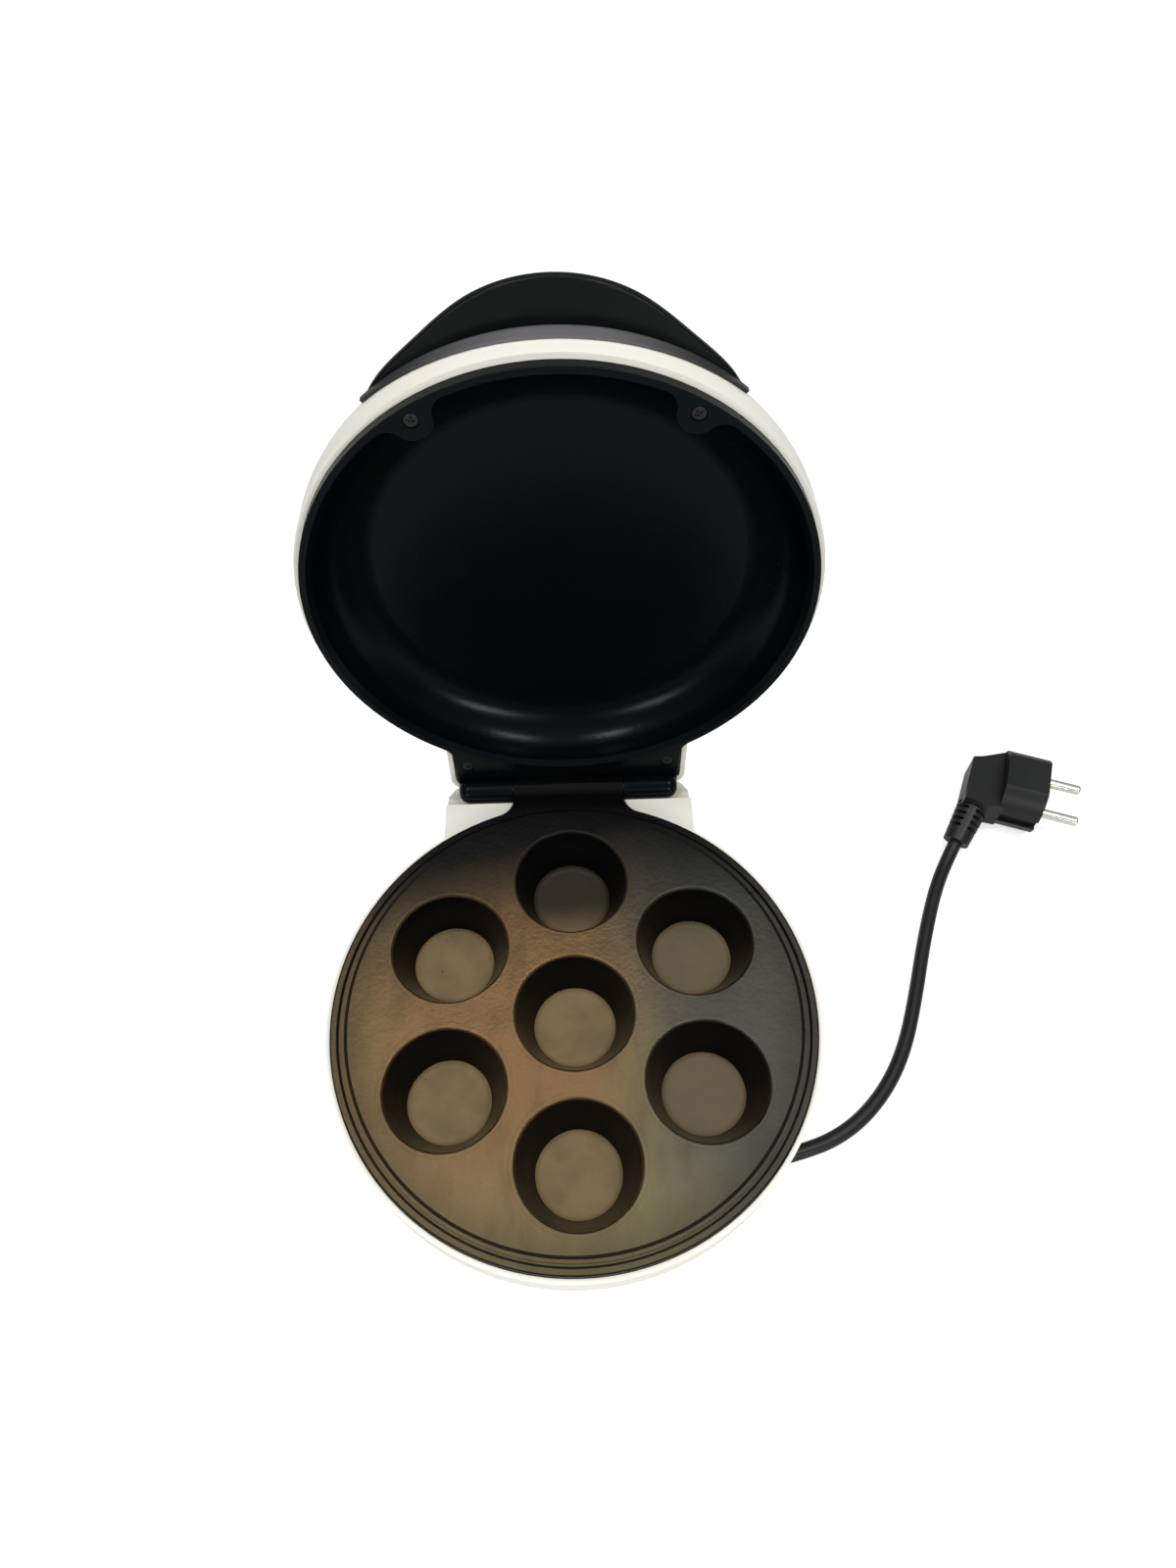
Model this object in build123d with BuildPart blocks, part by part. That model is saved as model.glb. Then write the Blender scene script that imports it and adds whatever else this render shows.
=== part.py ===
from build123d import *
import os
from math import atan2, cos, degrees, isclose, pi, radians, sin, sqrt, tan

# A round table-top muffin maker with its lid open.
# The base is a bowl with a square heel at the back, a plate with seven cups on
# top and a cord winding underneath. The lid is a dome with a deep dish, hinged
# on the plate. Lengths are millimetres, Z is up, the table is Z = 0.

os.makedirs("parts", exist_ok=True)

# Baking plate
PLATE_TOP = 55.0  # height of the plate's face above the table
PLATE_R = 98.0
PLATE_WEB = 2.2
GROOVE_INSET = 3.0
GROOVE_R = PLATE_R - GROOVE_INSET  # outer radius of the drip groove
GROOVE_WIDTH = 1.4
GROOVE_DEPTH = 0.9
SKIRT_WALL = 3.0
SKIRT_DEPTH = 6.0
CUP_PITCH_R = 59.2
CUP_RING_COUNT = 6
CUP_START_ANGLE = 30.0
CUP_MOUTH_R = 24.4
CUP_FLOOR_R = 16.5
CUP_DEPTH = 20.3
CUP_WALL = 2.0
CUP_LIP_FILLET = 1.0
CUP_FLOOR_FILLET = 3.0
TAB_THICKNESS = 2.6
TAB_FILLET = 9.0
BOSS_R = 4.5
BOSS_ANGLES = (60, 120, 240, 300)
BOSS_INSET = 21.0
BOSS_PITCH_R = PLATE_R - BOSS_INSET

# Hinge
HINGE_REACH = 10.0  # behind the plate's edge
HINGE_Y = PLATE_R + HINGE_REACH
HINGE_DROP = 2.2  # below the plate's face
HINGE_Z = PLATE_TOP - HINGE_DROP
BARREL_R = 5.75
BARREL_LENGTH = 100.0
KNUCKLE_LENGTH = 50.0  # the plate's knuckle, in the middle
KNUCKLE_GAP = 0.4  # between knuckles, along the pin and round them
KNUCKLE_END_FILLET = 4.5
PIN_R = 2.0
PIN_CLEAR = 0.05
PIN_END_WALL = 4.0
OPEN_ANGLE = 95.9  # from closed to where the lid leans on its stop

# Base shell
SHELL_GAP = 0.3  # round the plate
SHELL_WALL = 2.0
SHELL_R = PLATE_R + SHELL_GAP + SHELL_WALL
SHELL_TOP_DROP = 2.7  # the shell's rim below the plate's face
BASE_BAND = 12.3  # upright part of the wall
FOOT_INSET = 14.3
FOOT_R = SHELL_R - FOOT_INSET
BOWL_FLARE = 1.0
BOWL_IN_R = FOOT_R + BOWL_FLARE  # inside radius at the top of the cover's ledge
RIM_LEDGE = 4.0
LEDGE_THICKNESS = 2.5
HEEL_SIDE = 6.0  # beyond the hinge barrels
HEEL_HALF = BARREL_LENGTH / 2 + HEEL_SIDE
HEEL_REACH = 10.0  # behind the hinge
HEEL_Y = HINGE_Y + HEEL_REACH
HEEL_CORNER = 8.0
HEEL_WALL = 2.4
TROUGH_CLEAR = 1.25
STOP_GAP = 0.3
STOP_LAND = 5.5

# Bottom cover
COVER_Z = 11.0
COVER_THICKNESS = 2.0
COVER_GAP = 0.2
COVER_LEDGE = 3.5
COVER_LIP = 2.2
COLUMN_R = 6.0
FOOT_PAD_R = 5.0
FOOT_PAD_HEIGHT = 4.0
FOOT_RECESS = 1.0
REAR_FOOT_INSET = 12.0
REAR_FOOT_X = HEEL_HALF - REAR_FOOT_INSET
REAR_FOOT_BACK = 14.0  # in front of the heel's back
REAR_FOOT_Y = HEEL_Y - REAR_FOOT_BACK
HUB_R = 45.0
HUB_WALL = 2.0
HUB_FOOT = 2.0  # the hub's lower edge above the table
HOOK_REACH = 18.0
HOOK_WIDTH = 9.0
HOOK_THICKNESS = 1.3
HOOK_COUNT = 4
HOOK_START_ANGLE = 10.0
HUB_SLOT_FROM = 36.0
HUB_SLOT_TO = 86.0
VENT_COUNT = 8
VENT_LENGTH = 12.0
VENT_WIDTH = 3.0
VENT_PITCH_R = 16.0

# Inside the base
SHIELD_Z = 27.0
SHIELD_THICKNESS = 0.8
SHIELD_INSET = 14.3
SHIELD_R = SHELL_R - SHIELD_INSET
SHIELD_RIM = 5.0
SHIELD_HOLE_R = 6.5
ELEMENT_R = 3.3
LOWER_ELEMENT_PITCH_R = 29.6
ELEMENT_GAP_ANGLE = 24.0
TERMINAL_LENGTH = 28.0
TERMINAL_HOLE_CLEAR = 1.2
SEAT_GAP = 0.05
THERMOSTAT_R = 8.0
THERMOSTAT_TAB_WIDTH = 6.3
THERMOSTAT_TAB_THICKNESS = 0.8
THERMOSTAT_TAB_LENGTH = 10.0
THERMOSTAT_TAB_PITCH = 7.0
FUSE_R = 2.0
FUSE_LENGTH = 11.0
FUSE_X = -48.0
FUSE_STRAP_WIDTH = 4.0
FUSE_STRAP_WALL = 0.8
FUSE_STRAP_FOOT = 4.0
BLOCK_X = 30.0
BLOCK_Y = 34.0
BLOCK_LENGTH = 26.0
BLOCK_WIDTH = 13.0
BLOCK_HEIGHT = 9.0
BLOCK_WELLS = 3
BLOCK_WELL_R = 2.4

# Machine screws through the cover into the plate
SCREW_R = 2.0
SCREW_HEAD_R = 3.75
SCREW_HEAD_HEIGHT = 2.6
SCREW_WELL_R = 4.2
SCREW_SEAT = 5.0  # the head's seat above the cover's underside
SCREW_BITE = 8.0
SCREW_CLEAR = 0.05

# Lid, measured from the rim plane, towards the dome
RIM_GAP = 0.4  # between the closed rims
RIM_FLANGE = 2.5
DISH_R = PLATE_R - RIM_FLANGE
DISH_DEPTH = 22.0
DISH_FILLET = 20.0
DISH_WALL = 2.0
DISH_FLOOR_R = DISH_R - DISH_FILLET - DISH_WALL
RIM_DEPTH = 6.0
LOBE_X = 46.4
LOBE_INSET = 15.0  # behind the dish's front
LOBE_Y = LOBE_INSET - DISH_R
LOBE_R = 7.3
LOBE_DEPTH = 14.0
LOBE_WEB = 2.6
LOBE_FILLET = 6.0
EAR_HALF = BARREL_LENGTH / 2
EAR_PAST = 1.0  # behind the hinge
EAR_END = HINGE_Y + EAR_PAST
EAR_FLARE = 10.0
EAR_CLEAR = 0.1  # to the dome's wall
EAR_SCREW_INSET = 5.0
EAR_SCREW_X = EAR_HALF - EAR_SCREW_INSET
EAR_SCREW_BACK = 15.0
EAR_SCREW_Y = EAR_END - EAR_SCREW_BACK
LID_EDGE = 4.3  # where the dome's wall starts
LID_BAND = 10.0
DOME_SPAN = 40.0
DOME_RISE = 28.0
LID_WALL = 2.2
LID_LEDGE = 2.5
LID_LEDGE_THICKNESS = 2.0
LID_HEEL_SIDE = 4.5  # beyond the hinge barrels
LID_HEEL_HALF = BARREL_LENGTH / 2 + LID_HEEL_SIDE
LID_HEEL_Y = HEEL_Y
LID_HEEL_RIM = 6.2
LID_HEEL_TOP = 28.0
LID_HEEL_CORNER = 8.0
LID_HEEL_ROUND = 6.0
LID_BOSS_R = 3.5
LID_BOSS_CLEAR = 0.2
LID_SCREW_R = 1.5
LID_SCREW_HEAD_R = 2.7
LID_SCREW_HEAD_HEIGHT = 1.6
LID_SCREW_LENGTH = 13.0
HEAD_CLEAR = 0.1
UPPER_ELEMENT_INSET = 21.5
UPPER_ELEMENT_PITCH_R = DISH_FLOOR_R - UPPER_ELEMENT_INSET
UPPER_TERMINAL_LENGTH = 13.0
UPPER_SHIELD_INSET = 2.5
UPPER_SHIELD_R = DISH_FLOOR_R - UPPER_SHIELD_INSET
UPPER_SHIELD_HEIGHT = 8.4
LAMP_X = 9.0
LAMP_Y = -46.0
LAMP_R = 3.0
LAMP_CLEAR = 0.1
LAMP_FLANGE_R = 4.0
LAMP_PROUD = 0.8
LAMP_DEPTH = 4.4
HOLDER_WIDTH = 36.0
HOLDER_DEPTH = 14.0
HOLDER_THICKNESS = 1.6
HOLDER_LEG = 4.0

# Handle on the dome's front
HANDLE_LEVEL = 19.0
HANDLE_THICKNESS = 7.0
HANDLE_TIP_REACH = 16.3  # each outline point's place, measured from the shell's front
HANDLE_SHOULDER_X = 26.7
HANDLE_SHOULDER_REACH = 9.8
HANDLE_FLANK_X = 46.9
HANDLE_FLANK_REACH = -5.2
HANDLE_SIDE_X = 64.1
HANDLE_SIDE_REACH = -24.2
HANDLE_END_X = 66.0
HANDLE_END_REACH = -33.3
HANDLE_ROOT = 7.0  # how far the root comes down the band at the centre
HANDLE_ROOT_WALL = 1.2
HANDLE_FIT = 0.1
HANDLE_EDGE = 0.8
HANDLE_CROWN = 5.0
HANDLE_SCREW_X = 20.0
HANDLE_SCREW_LEVEL = 22.5
HANDLE_SCREW_INSET = 11.3
HANDLE_SCREW_HEAD_Y = HANDLE_SCREW_INSET - SHELL_R
HANDLE_SCREW_HEAD_R = 3.0
HANDLE_SCREW_HEAD_HEIGHT = 2.0
HANDLE_SCREW_LENGTH = 18.0
HANDLE_BOSS_R = 4.5

# Cord, its winding under the base and its plug
CORD_R = 3.25
WIND_Z = 6.9
WIND_R = 48.8  # first turn, at the cord's centre
WIND_STEP = 3.5  # growth in each half turn
WIND_HALF_TURNS = 3
ENTRY_R = 30.0
END_RUN = 7.0
GLAND_LENGTH = 13.0
GLAND_WIDTH = 11.0
GLAND_DEPTH = 8.0
GLAND_STEM_R = 4.5
GLAND_STEM_HEIGHT = 7.0
FREE_FIRST_RUN = 27.0
FREE_LAST_RUN = 9.5
ARC_SHARE = 0.45
FREE_CORD = [
    (64, -52.8, 4.2),
    (92.6, -46.6, 3.4),
    (108.4, -41.8, 3.3),
    (122.8, -32.9, 3.3),
    (136.2, -19.2, 3.3),
    (146.6, -2.6, 3.3),
    (155.6, 19.6, 3.3),
    (165.4, 47.8, 3.3),
    (176.6, 74.9, 3.3),
]
PLUG_X = 234.5
PLUG_Y = 118.0
PLUG_Z = 16.0
PLUG_TURN = -19.8
PLUG_HEAD_R = 18.5
PLUG_HEAD_FLAT = 16.0
PLUG_HEAD_LENGTH = 20.0
PLUG_PIN_R = 2.4
PLUG_PIN_LENGTH = 19.0
PLUG_PIN_SPACING = 19.0
PLUG_PIN_ROOT = 8.0
PLUG_KEY_WIDTH = 6.0
PLUG_KEY_DEPTH = 2.2
PLUG_BODY_HALF = 8.0
PLUG_BODY_OUTLINE = [
    (-18.0, 17.0),
    (-31.0, 10.0),
    (-35.5, 8.5),
    (-36.8, -11.0),
    (-36.5, -17.0),
    (-24.5, -18.4),
    (-18.0, -18.0),
]
RELIEF_ROOT = (-30.5, -15.5, -3.5)  # in the plug's own frame
RELIEF_END = (-34.5, -33.0, -9.4)
RELIEF_R = 6.2
RELIEF_ROOT_R = 7.4
RELIEF_CORE_WALL = 0.6
RELIEF_SPINE = 3.4
COLLAR_LENGTH = 5.0
RELIEF_SLOTS = 5
RELIEF_SLOT_WIDTH = 1.3
RELIEF_SLOT_PITCH = 3.2

# The open lid's box and the base's box share the middle of the footprint
swing = radians(OPEN_ANGLE)
rim_z = PLATE_TOP + RIM_GAP
dome_top = LID_EDGE + LID_BAND + DOME_RISE
dome_flat_r = SHELL_R - DOME_SPAN
lid_back_y = (
    HINGE_Y
    + (rim_z + dome_top - HINGE_Z) * sin(swing)
    - (HINGE_Y + dome_flat_r) * cos(swing)
)
BASE_Y = -(lid_back_y - SHELL_R) / 2


def base_plane(height):
    """Level plane in the base, measured from the table."""
    return Plane((0, BASE_Y, height))


base_axis = Axis((0, BASE_Y, 0), (0, 0, 1))
base_section = Plane((0, BASE_Y, 0), x_dir=(1, 0, 0), z_dir=(0, -1, 0))

# The lid's own frame: X to the right, Y from the handle to the hinge
lid_up = Vector(0, sin(swing), cos(swing))
lid_back = Vector(0, cos(swing), -sin(swing))
hinge = Vector(0, BASE_Y + HINGE_Y, HINGE_Z)
lid_origin = hinge - lid_back * HINGE_Y + lid_up * (rim_z - HINGE_Z)


def lid_plane(height, x=0, y=0):
    """Plane parallel to the lid's rim, measured towards the dome."""
    origin = lid_origin + lid_up * height + lid_back * y + Vector(x, 0, 0)
    return Plane(origin, x_dir=(1, 0, 0), z_dir=lid_up)


lid_axis = Axis(lid_origin, lid_up)
lid_section = Plane(lid_origin, x_dir=(1, 0, 0), z_dir=-lid_back)
hinge_level = HINGE_Z - rim_z


def hinge_plane(x):
    """Upright plane across the hinge axis, with the pin at its origin."""
    return Plane(hinge + Vector(x, 0, 0), x_dir=(0, 1, 0), z_dir=(1, 0, 0))


def upright_plane(angle):
    """Section plane of the base turned to an angle."""
    out = (cos(radians(angle)), sin(radians(angle)), 0)
    return Plane((0, BASE_Y, 0), x_dir=out, z_dir=(out[1], -out[0], 0))


def lid_upright_plane(angle):
    """Section plane of the lid turned to an angle."""
    out = Vector(1, 0, 0) * cos(radians(angle)) + lid_back * sin(radians(angle))
    return Plane(lid_origin, x_dir=out, z_dir=out.cross(lid_up))


def front_plane(x, y, level):
    """Plane across the lid that looks towards the handle."""
    return Plane(lid_plane(level, x, y).origin, x_dir=(1, 0, 0), z_dir=-lid_back)


def back_plane(x, y, level):
    """Plane across the lid that looks towards the hinge."""
    return Plane(lid_plane(level, x, y).origin, x_dir=(1, 0, 0), z_dir=lid_back)


def side_plane(x):
    """Upright plane along the lid, with its rim's centre at the origin."""
    return Plane(lid_plane(0, x).origin, x_dir=lid_back, z_dir=lid_up.cross(lid_back) * -1)


def fuse_plane(height, length):
    """Plane across the thermal fuse at one end of a given length."""
    origin = (FUSE_X - length / 2, BASE_Y, height)
    return Plane(origin, x_dir=(0, 1, 0), z_dir=(1, 0, 0))


def dome_solid(grown):
    """The dome as a solid, grown by an amount."""
    with BuildPart() as dome:
        with BuildSketch(lid_section):
            with BuildLine():
                EllipticalCenterArc(
                    (dome_flat_r, LID_EDGE + LID_BAND),
                    DOME_SPAN + grown,
                    DOME_RISE + grown,
                    start_angle=0,
                    arc_size=90,
                )
                Polyline(
                    (dome_flat_r, dome_top + grown),
                    (0, dome_top + grown),
                    (0, LID_EDGE),
                    (SHELL_R + grown, LID_EDGE),
                    (SHELL_R + grown, LID_EDGE + LID_BAND),
                )
            make_face()
        revolve(axis=lid_axis)
    return dome.part


def around(radius, angles):
    """Points on a circle at the given angles."""
    return [(radius * cos(radians(a)), radius * sin(radians(a))) for a in angles]


def both_sides(x, y):
    """A point and its mirror image."""
    return [(-x, y), (x, y)]


web_under = PLATE_TOP - PLATE_WEB
skirt_foot = PLATE_TOP - SKIRT_DEPTH
shell_top = PLATE_TOP - SHELL_TOP_DROP
band_foot = shell_top - BASE_BAND
cover_top = COVER_Z + COVER_THICKNESS
ledge_top = cover_top + LEDGE_THICKNESS
shield_top = SHIELD_Z + SHIELD_THICKNESS
screw_seat = COVER_Z + SCREW_SEAT
screw_tip = shield_top + SCREW_BITE
cup_floor = PLATE_TOP - CUP_DEPTH
cup_under = PLATE_TOP - CUP_DEPTH - CUP_WALL
cup_collar_r = CUP_MOUTH_R + CUP_WALL
cup_centres = [(0, 0)] + around(
    CUP_PITCH_R,
    [CUP_START_ANGLE + 360 / CUP_RING_COUNT * i for i in range(CUP_RING_COUNT)],
)
boss_centres = around(BOSS_PITCH_R, BOSS_ANGLES)
front_feet = [point for point in boss_centres if point[1] < 0]
rear_feet = both_sides(REAR_FOOT_X, REAR_FOOT_Y)
element_half_gap = ELEMENT_GAP_ANGLE / 2
lower_terminals = around(
    LOWER_ELEMENT_PITCH_R, [90 - element_half_gap, 90 + element_half_gap]
)
gland_face = WIND_R - ENTRY_R - END_RUN
gland_stem = (ENTRY_R, gland_face - GLAND_LENGTH / 2)

# Baking plate: web, skirt, groove, tab and middle knuckle in one casting
with BuildPart(base_plane(0)) as baking_plate:
    with BuildSketch(base_section):
        with BuildLine():
            Polyline(
                (0, PLATE_TOP),
                (GROOVE_R - GROOVE_WIDTH, PLATE_TOP),
                (GROOVE_R - GROOVE_WIDTH, PLATE_TOP - GROOVE_DEPTH),
                (GROOVE_R, PLATE_TOP - GROOVE_DEPTH),
                (GROOVE_R, PLATE_TOP),
                (PLATE_R, PLATE_TOP),
                (PLATE_R, skirt_foot),
                (PLATE_R - SKIRT_WALL, skirt_foot),
                (PLATE_R - SKIRT_WALL, web_under),
                (0, web_under),
                close=True,
            )
        make_face()
    revolve(axis=base_axis)
    # back tab, with its concave corners against the round edge
    with BuildSketch(base_plane(PLATE_TOP - TAB_THICKNESS)) as tab:
        Circle(PLATE_R)
        Rectangle(KNUCKLE_LENGTH, HINGE_Y, align=(Align.CENTER, Align.MIN))
        fillet(tab.vertices().sort_by(Axis.Y)[-4:-2], TAB_FILLET)
        Circle(PLATE_R - SKIRT_WALL, mode=Mode.SUBTRACT)
    extrude(amount=TAB_THICKNESS)
    with BuildSketch(hinge_plane(-KNUCKLE_LENGTH / 2)):
        Circle(BARREL_R)
    extrude(amount=KNUCKLE_LENGTH)
    with BuildSketch(hinge_plane(-KNUCKLE_LENGTH / 2)):
        Circle(PIN_R + PIN_CLEAR)
    extrude(amount=KNUCKLE_LENGTH, mode=Mode.SUBTRACT)
    # screw bosses down to the heat shield
    with BuildSketch(base_plane(shield_top)):
        with Locations(*boss_centres):
            Circle(BOSS_R)
    extrude(amount=web_under - shield_top)
    with BuildSketch(base_plane(shield_top)):
        with Locations(*boss_centres):
            Circle(SCREW_R + SCREW_CLEAR)
    extrude(amount=screw_tip - shield_top + SCREW_CLEAR, mode=Mode.SUBTRACT)
    # round holes that the cups hang in
    with BuildSketch(base_plane(web_under)):
        with Locations(*cup_centres):
            Circle(cup_collar_r + SEAT_GAP)
    extrude(amount=PLATE_WEB, mode=Mode.SUBTRACT)
baking_plate.part.label = "baking_plate"
export_step(baking_plate.part, "parts/baking_plate.step")

# Seven cups, each with a collar as thick as the plate's web
with BuildPart() as one_cup:
    with BuildSketch(base_section) as cup_half:
        with BuildLine():
            Polyline(
                (0, cup_under),
                (CUP_FLOOR_R + CUP_WALL, cup_under),
                (cup_collar_r, web_under),
                (cup_collar_r, PLATE_TOP),
                (CUP_MOUTH_R, PLATE_TOP),
                (CUP_FLOOR_R, cup_floor),
                (0, cup_floor),
                close=True,
            )
        make_face()
        lip = cup_half.vertices().filter_by(
            lambda v: isclose(v.X, CUP_MOUTH_R) and isclose(v.Y, PLATE_TOP)
        )
        fillet(lip, CUP_LIP_FILLET)
        floor_corner = cup_half.vertices().filter_by(
            lambda v: isclose(v.X, CUP_FLOOR_R) and isclose(v.Y, cup_floor)
        )
        fillet(floor_corner, CUP_FLOOR_FILLET)
    revolve(axis=base_axis)
with BuildPart() as muffin_cups:
    with Locations(*[(x, y, 0) for x, y in cup_centres]):
        add(one_cup.part)
muffin_cups.part.label = "muffin_cups"
export_step(muffin_cups.part, "parts/muffin_cups.step")

# Base shell: a moulded bowl with a square heel under the hinge
shell_in_r = SHELL_R - SHELL_WALL
rim_ledge_foot = skirt_foot - LEDGE_THICKNESS
rim_ledge_r = shell_in_r - RIM_LEDGE
lid_wall_out = (HEEL_Y - HINGE_Y - (LID_HEEL_Y - HINGE_Y) * cos(swing)) / sin(swing)
stop_z = -(LID_HEEL_Y - HINGE_Y) * sin(swing) + lid_wall_out * cos(swing) - STOP_GAP
heel_ceiling = HINGE_Z + stop_z - HEEL_WALL
trough_r = BARREL_R + TROUGH_CLEAR
with BuildPart() as base_shell:
    with BuildSketch(base_section):
        with BuildLine():
            wall = Line((SHELL_R, shell_top), (SHELL_R, band_foot))
            bowl = TangentArc(wall @ 1, (FOOT_R, COVER_Z), tangent=wall % 1)
            Polyline(bowl @ 1, (0, COVER_Z), (0, shell_top), wall @ 0)
        make_face()
    revolve(axis=base_axis)
    with BuildSketch(base_plane(COVER_Z)) as heel:
        Rectangle(2 * HEEL_HALF, HEEL_Y, align=(Align.CENTER, Align.MIN))
        fillet(heel.vertices().group_by(Axis.Y)[-1], HEEL_CORNER)
    extrude(amount=shell_top - COVER_Z)
    # trough for the hinge barrels and the land that the open lid leans on
    with BuildSketch(hinge_plane(-HEEL_HALF)):
        with BuildLine():
            Polyline(
                (0, SHELL_TOP_DROP + TROUGH_CLEAR),
                (0, -trough_r),
                (STOP_LAND, stop_z),
                (HEEL_Y - HINGE_Y, stop_z),
                (HEEL_Y - HINGE_Y, SHELL_TOP_DROP + TROUGH_CLEAR),
                close=True,
            )
        make_face()
        Circle(trough_r)
    extrude(amount=2 * HEEL_HALF, mode=Mode.SUBTRACT)
    # hollow of the bowl, with the ledge that the plate's skirt stands on
    with BuildSketch(base_section):
        with BuildLine():
            inside = Line((shell_in_r, rim_ledge_foot), (shell_in_r, band_foot))
            lower = TangentArc(inside @ 1, (BOWL_IN_R, ledge_top), tangent=inside % 1)
            Polyline(
                lower @ 1,
                (0, ledge_top),
                (0, shell_top),
                (shell_in_r, shell_top),
                (shell_in_r, skirt_foot),
                (rim_ledge_r, skirt_foot),
                (rim_ledge_r, rim_ledge_foot),
                inside @ 0,
            )
        make_face()
    revolve(axis=base_axis, mode=Mode.SUBTRACT)
    # hollow of the heel
    with BuildSketch(base_plane(ledge_top)) as heel_inside:
        Rectangle(
            2 * (HEEL_HALF - HEEL_WALL),
            HEEL_Y - HEEL_WALL,
            align=(Align.CENTER, Align.MIN),
        )
        fillet(heel_inside.vertices().group_by(Axis.Y)[-1], HEEL_CORNER - HEEL_WALL)
    extrude(amount=heel_ceiling - ledge_top, mode=Mode.SUBTRACT)
    # seat of the bottom cover, and the way in through its ledge
    for inset, floor, height in (
        (0, COVER_Z, COVER_THICKNESS),
        (COVER_LEDGE, cover_top, LEDGE_THICKNESS),
    ):
        with BuildSketch(base_plane(floor)) as seat:
            Rectangle(
                2 * (HEEL_HALF - HEEL_WALL - inset),
                HEEL_Y - HEEL_WALL - inset,
                align=(Align.CENTER, Align.MIN),
            )
            fillet(seat.vertices().group_by(Axis.Y)[-1], HEEL_CORNER - HEEL_WALL)
            Circle(FOOT_R - COVER_LIP - inset)
        extrude(amount=height, mode=Mode.SUBTRACT)
    # room in the ledge for the cover's columns
    with BuildSketch(base_plane(cover_top)):
        with Locations(*boss_centres):
            Circle(COLUMN_R + COVER_GAP)
    extrude(amount=LEDGE_THICKNESS, mode=Mode.SUBTRACT)
base_shell.part.label = "base_shell"
export_step(base_shell.part, "parts/base_shell.step")

# Bottom cover: hub and hooks of the cord winding, feet and screw columns
hub_in_r = HUB_R - HUB_WALL
slot_reach = (HUB_R + HUB_WALL) / cos(radians((HUB_SLOT_TO - HUB_SLOT_FROM) / 2))
leg_foot = FOOT_PAD_HEIGHT - FOOT_RECESS
with BuildPart() as bottom_cover:
    with BuildSketch(base_plane(COVER_Z)) as sheet:
        Rectangle(
            2 * (HEEL_HALF - HEEL_WALL - COVER_GAP),
            HEEL_Y - HEEL_WALL - COVER_GAP,
            align=(Align.CENTER, Align.MIN),
        )
        fillet(sheet.vertices().group_by(Axis.Y)[-1], HEEL_CORNER - HEEL_WALL)
        Circle(FOOT_R - COVER_LIP - COVER_GAP)
    extrude(amount=COVER_THICKNESS)
    # the hub, with the way out of it for the cord
    with BuildSketch(base_plane(HUB_FOOT)):
        Circle(HUB_R)
        Circle(hub_in_r, mode=Mode.SUBTRACT)
        with BuildLine():
            Polyline(
                (0, 0), *around(slot_reach, [HUB_SLOT_FROM, HUB_SLOT_TO]), close=True
            )
        make_face(mode=Mode.SUBTRACT)
    extrude(amount=COVER_Z - HUB_FOOT)
    with BuildSketch(base_plane(HUB_FOOT)):
        with PolarLocations(hub_in_r, HOOK_COUNT, start_angle=HOOK_START_ANGLE):
            Rectangle(
                HOOK_REACH + HUB_WALL, HOOK_WIDTH, align=(Align.MIN, Align.CENTER)
            )
    extrude(amount=HOOK_THICKNESS)
    # columns, legs and what goes into them
    with BuildSketch(base_plane(cover_top)):
        with Locations(*boss_centres):
            Circle(COLUMN_R)
    extrude(amount=SHIELD_Z - cover_top)
    with BuildSketch(base_plane(leg_foot)):
        with Locations(*front_feet, *rear_feet):
            Circle(COLUMN_R)
    extrude(amount=COVER_Z - leg_foot)
    with BuildSketch(base_plane(leg_foot)):
        with Locations(*front_feet, *rear_feet):
            Circle(FOOT_PAD_R + SCREW_CLEAR)
    extrude(amount=FOOT_RECESS, mode=Mode.SUBTRACT)
    with BuildSketch(base_plane(leg_foot)):
        with Locations(*boss_centres):
            Circle(SCREW_WELL_R)
    extrude(amount=screw_seat - leg_foot, mode=Mode.SUBTRACT)
    with BuildSketch(base_plane(screw_seat)):
        with Locations(*boss_centres):
            Circle(SCREW_R + SCREW_CLEAR)
    extrude(amount=SHIELD_Z - screw_seat, mode=Mode.SUBTRACT)
    with BuildSketch(base_plane(COVER_Z)):
        with PolarLocations(VENT_PITCH_R, VENT_COUNT):
            SlotOverall(VENT_LENGTH, VENT_WIDTH)
        with Locations(gland_stem):
            Circle(GLAND_STEM_R + SCREW_CLEAR)
    extrude(amount=COVER_THICKNESS, mode=Mode.SUBTRACT)
bottom_cover.part.label = "bottom_cover"
export_step(bottom_cover.part, "parts/bottom_cover.step")

# Rubber pads in the four legs
with BuildPart() as rubber_feet:
    with BuildSketch(base_plane(0)):
        with Locations(*front_feet, *rear_feet):
            Circle(FOOT_PAD_R)
    extrude(amount=FOOT_PAD_HEIGHT)
rubber_feet.part.label = "rubber_feet"
export_step(rubber_feet.part, "parts/rubber_feet.step")

# Machine screws that clamp cover, shield and plate together
with BuildPart() as plate_screws:
    with BuildSketch(base_plane(screw_seat - SCREW_HEAD_HEIGHT)):
        with Locations(*boss_centres):
            Circle(SCREW_HEAD_R)
    extrude(amount=SCREW_HEAD_HEIGHT)
    with BuildSketch(base_plane(screw_seat)):
        with Locations(*boss_centres):
            Circle(SCREW_R)
    extrude(amount=screw_tip - screw_seat)
plate_screws.part.label = "plate_screws"
export_step(plate_screws.part, "parts/plate_screws.step")

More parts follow.
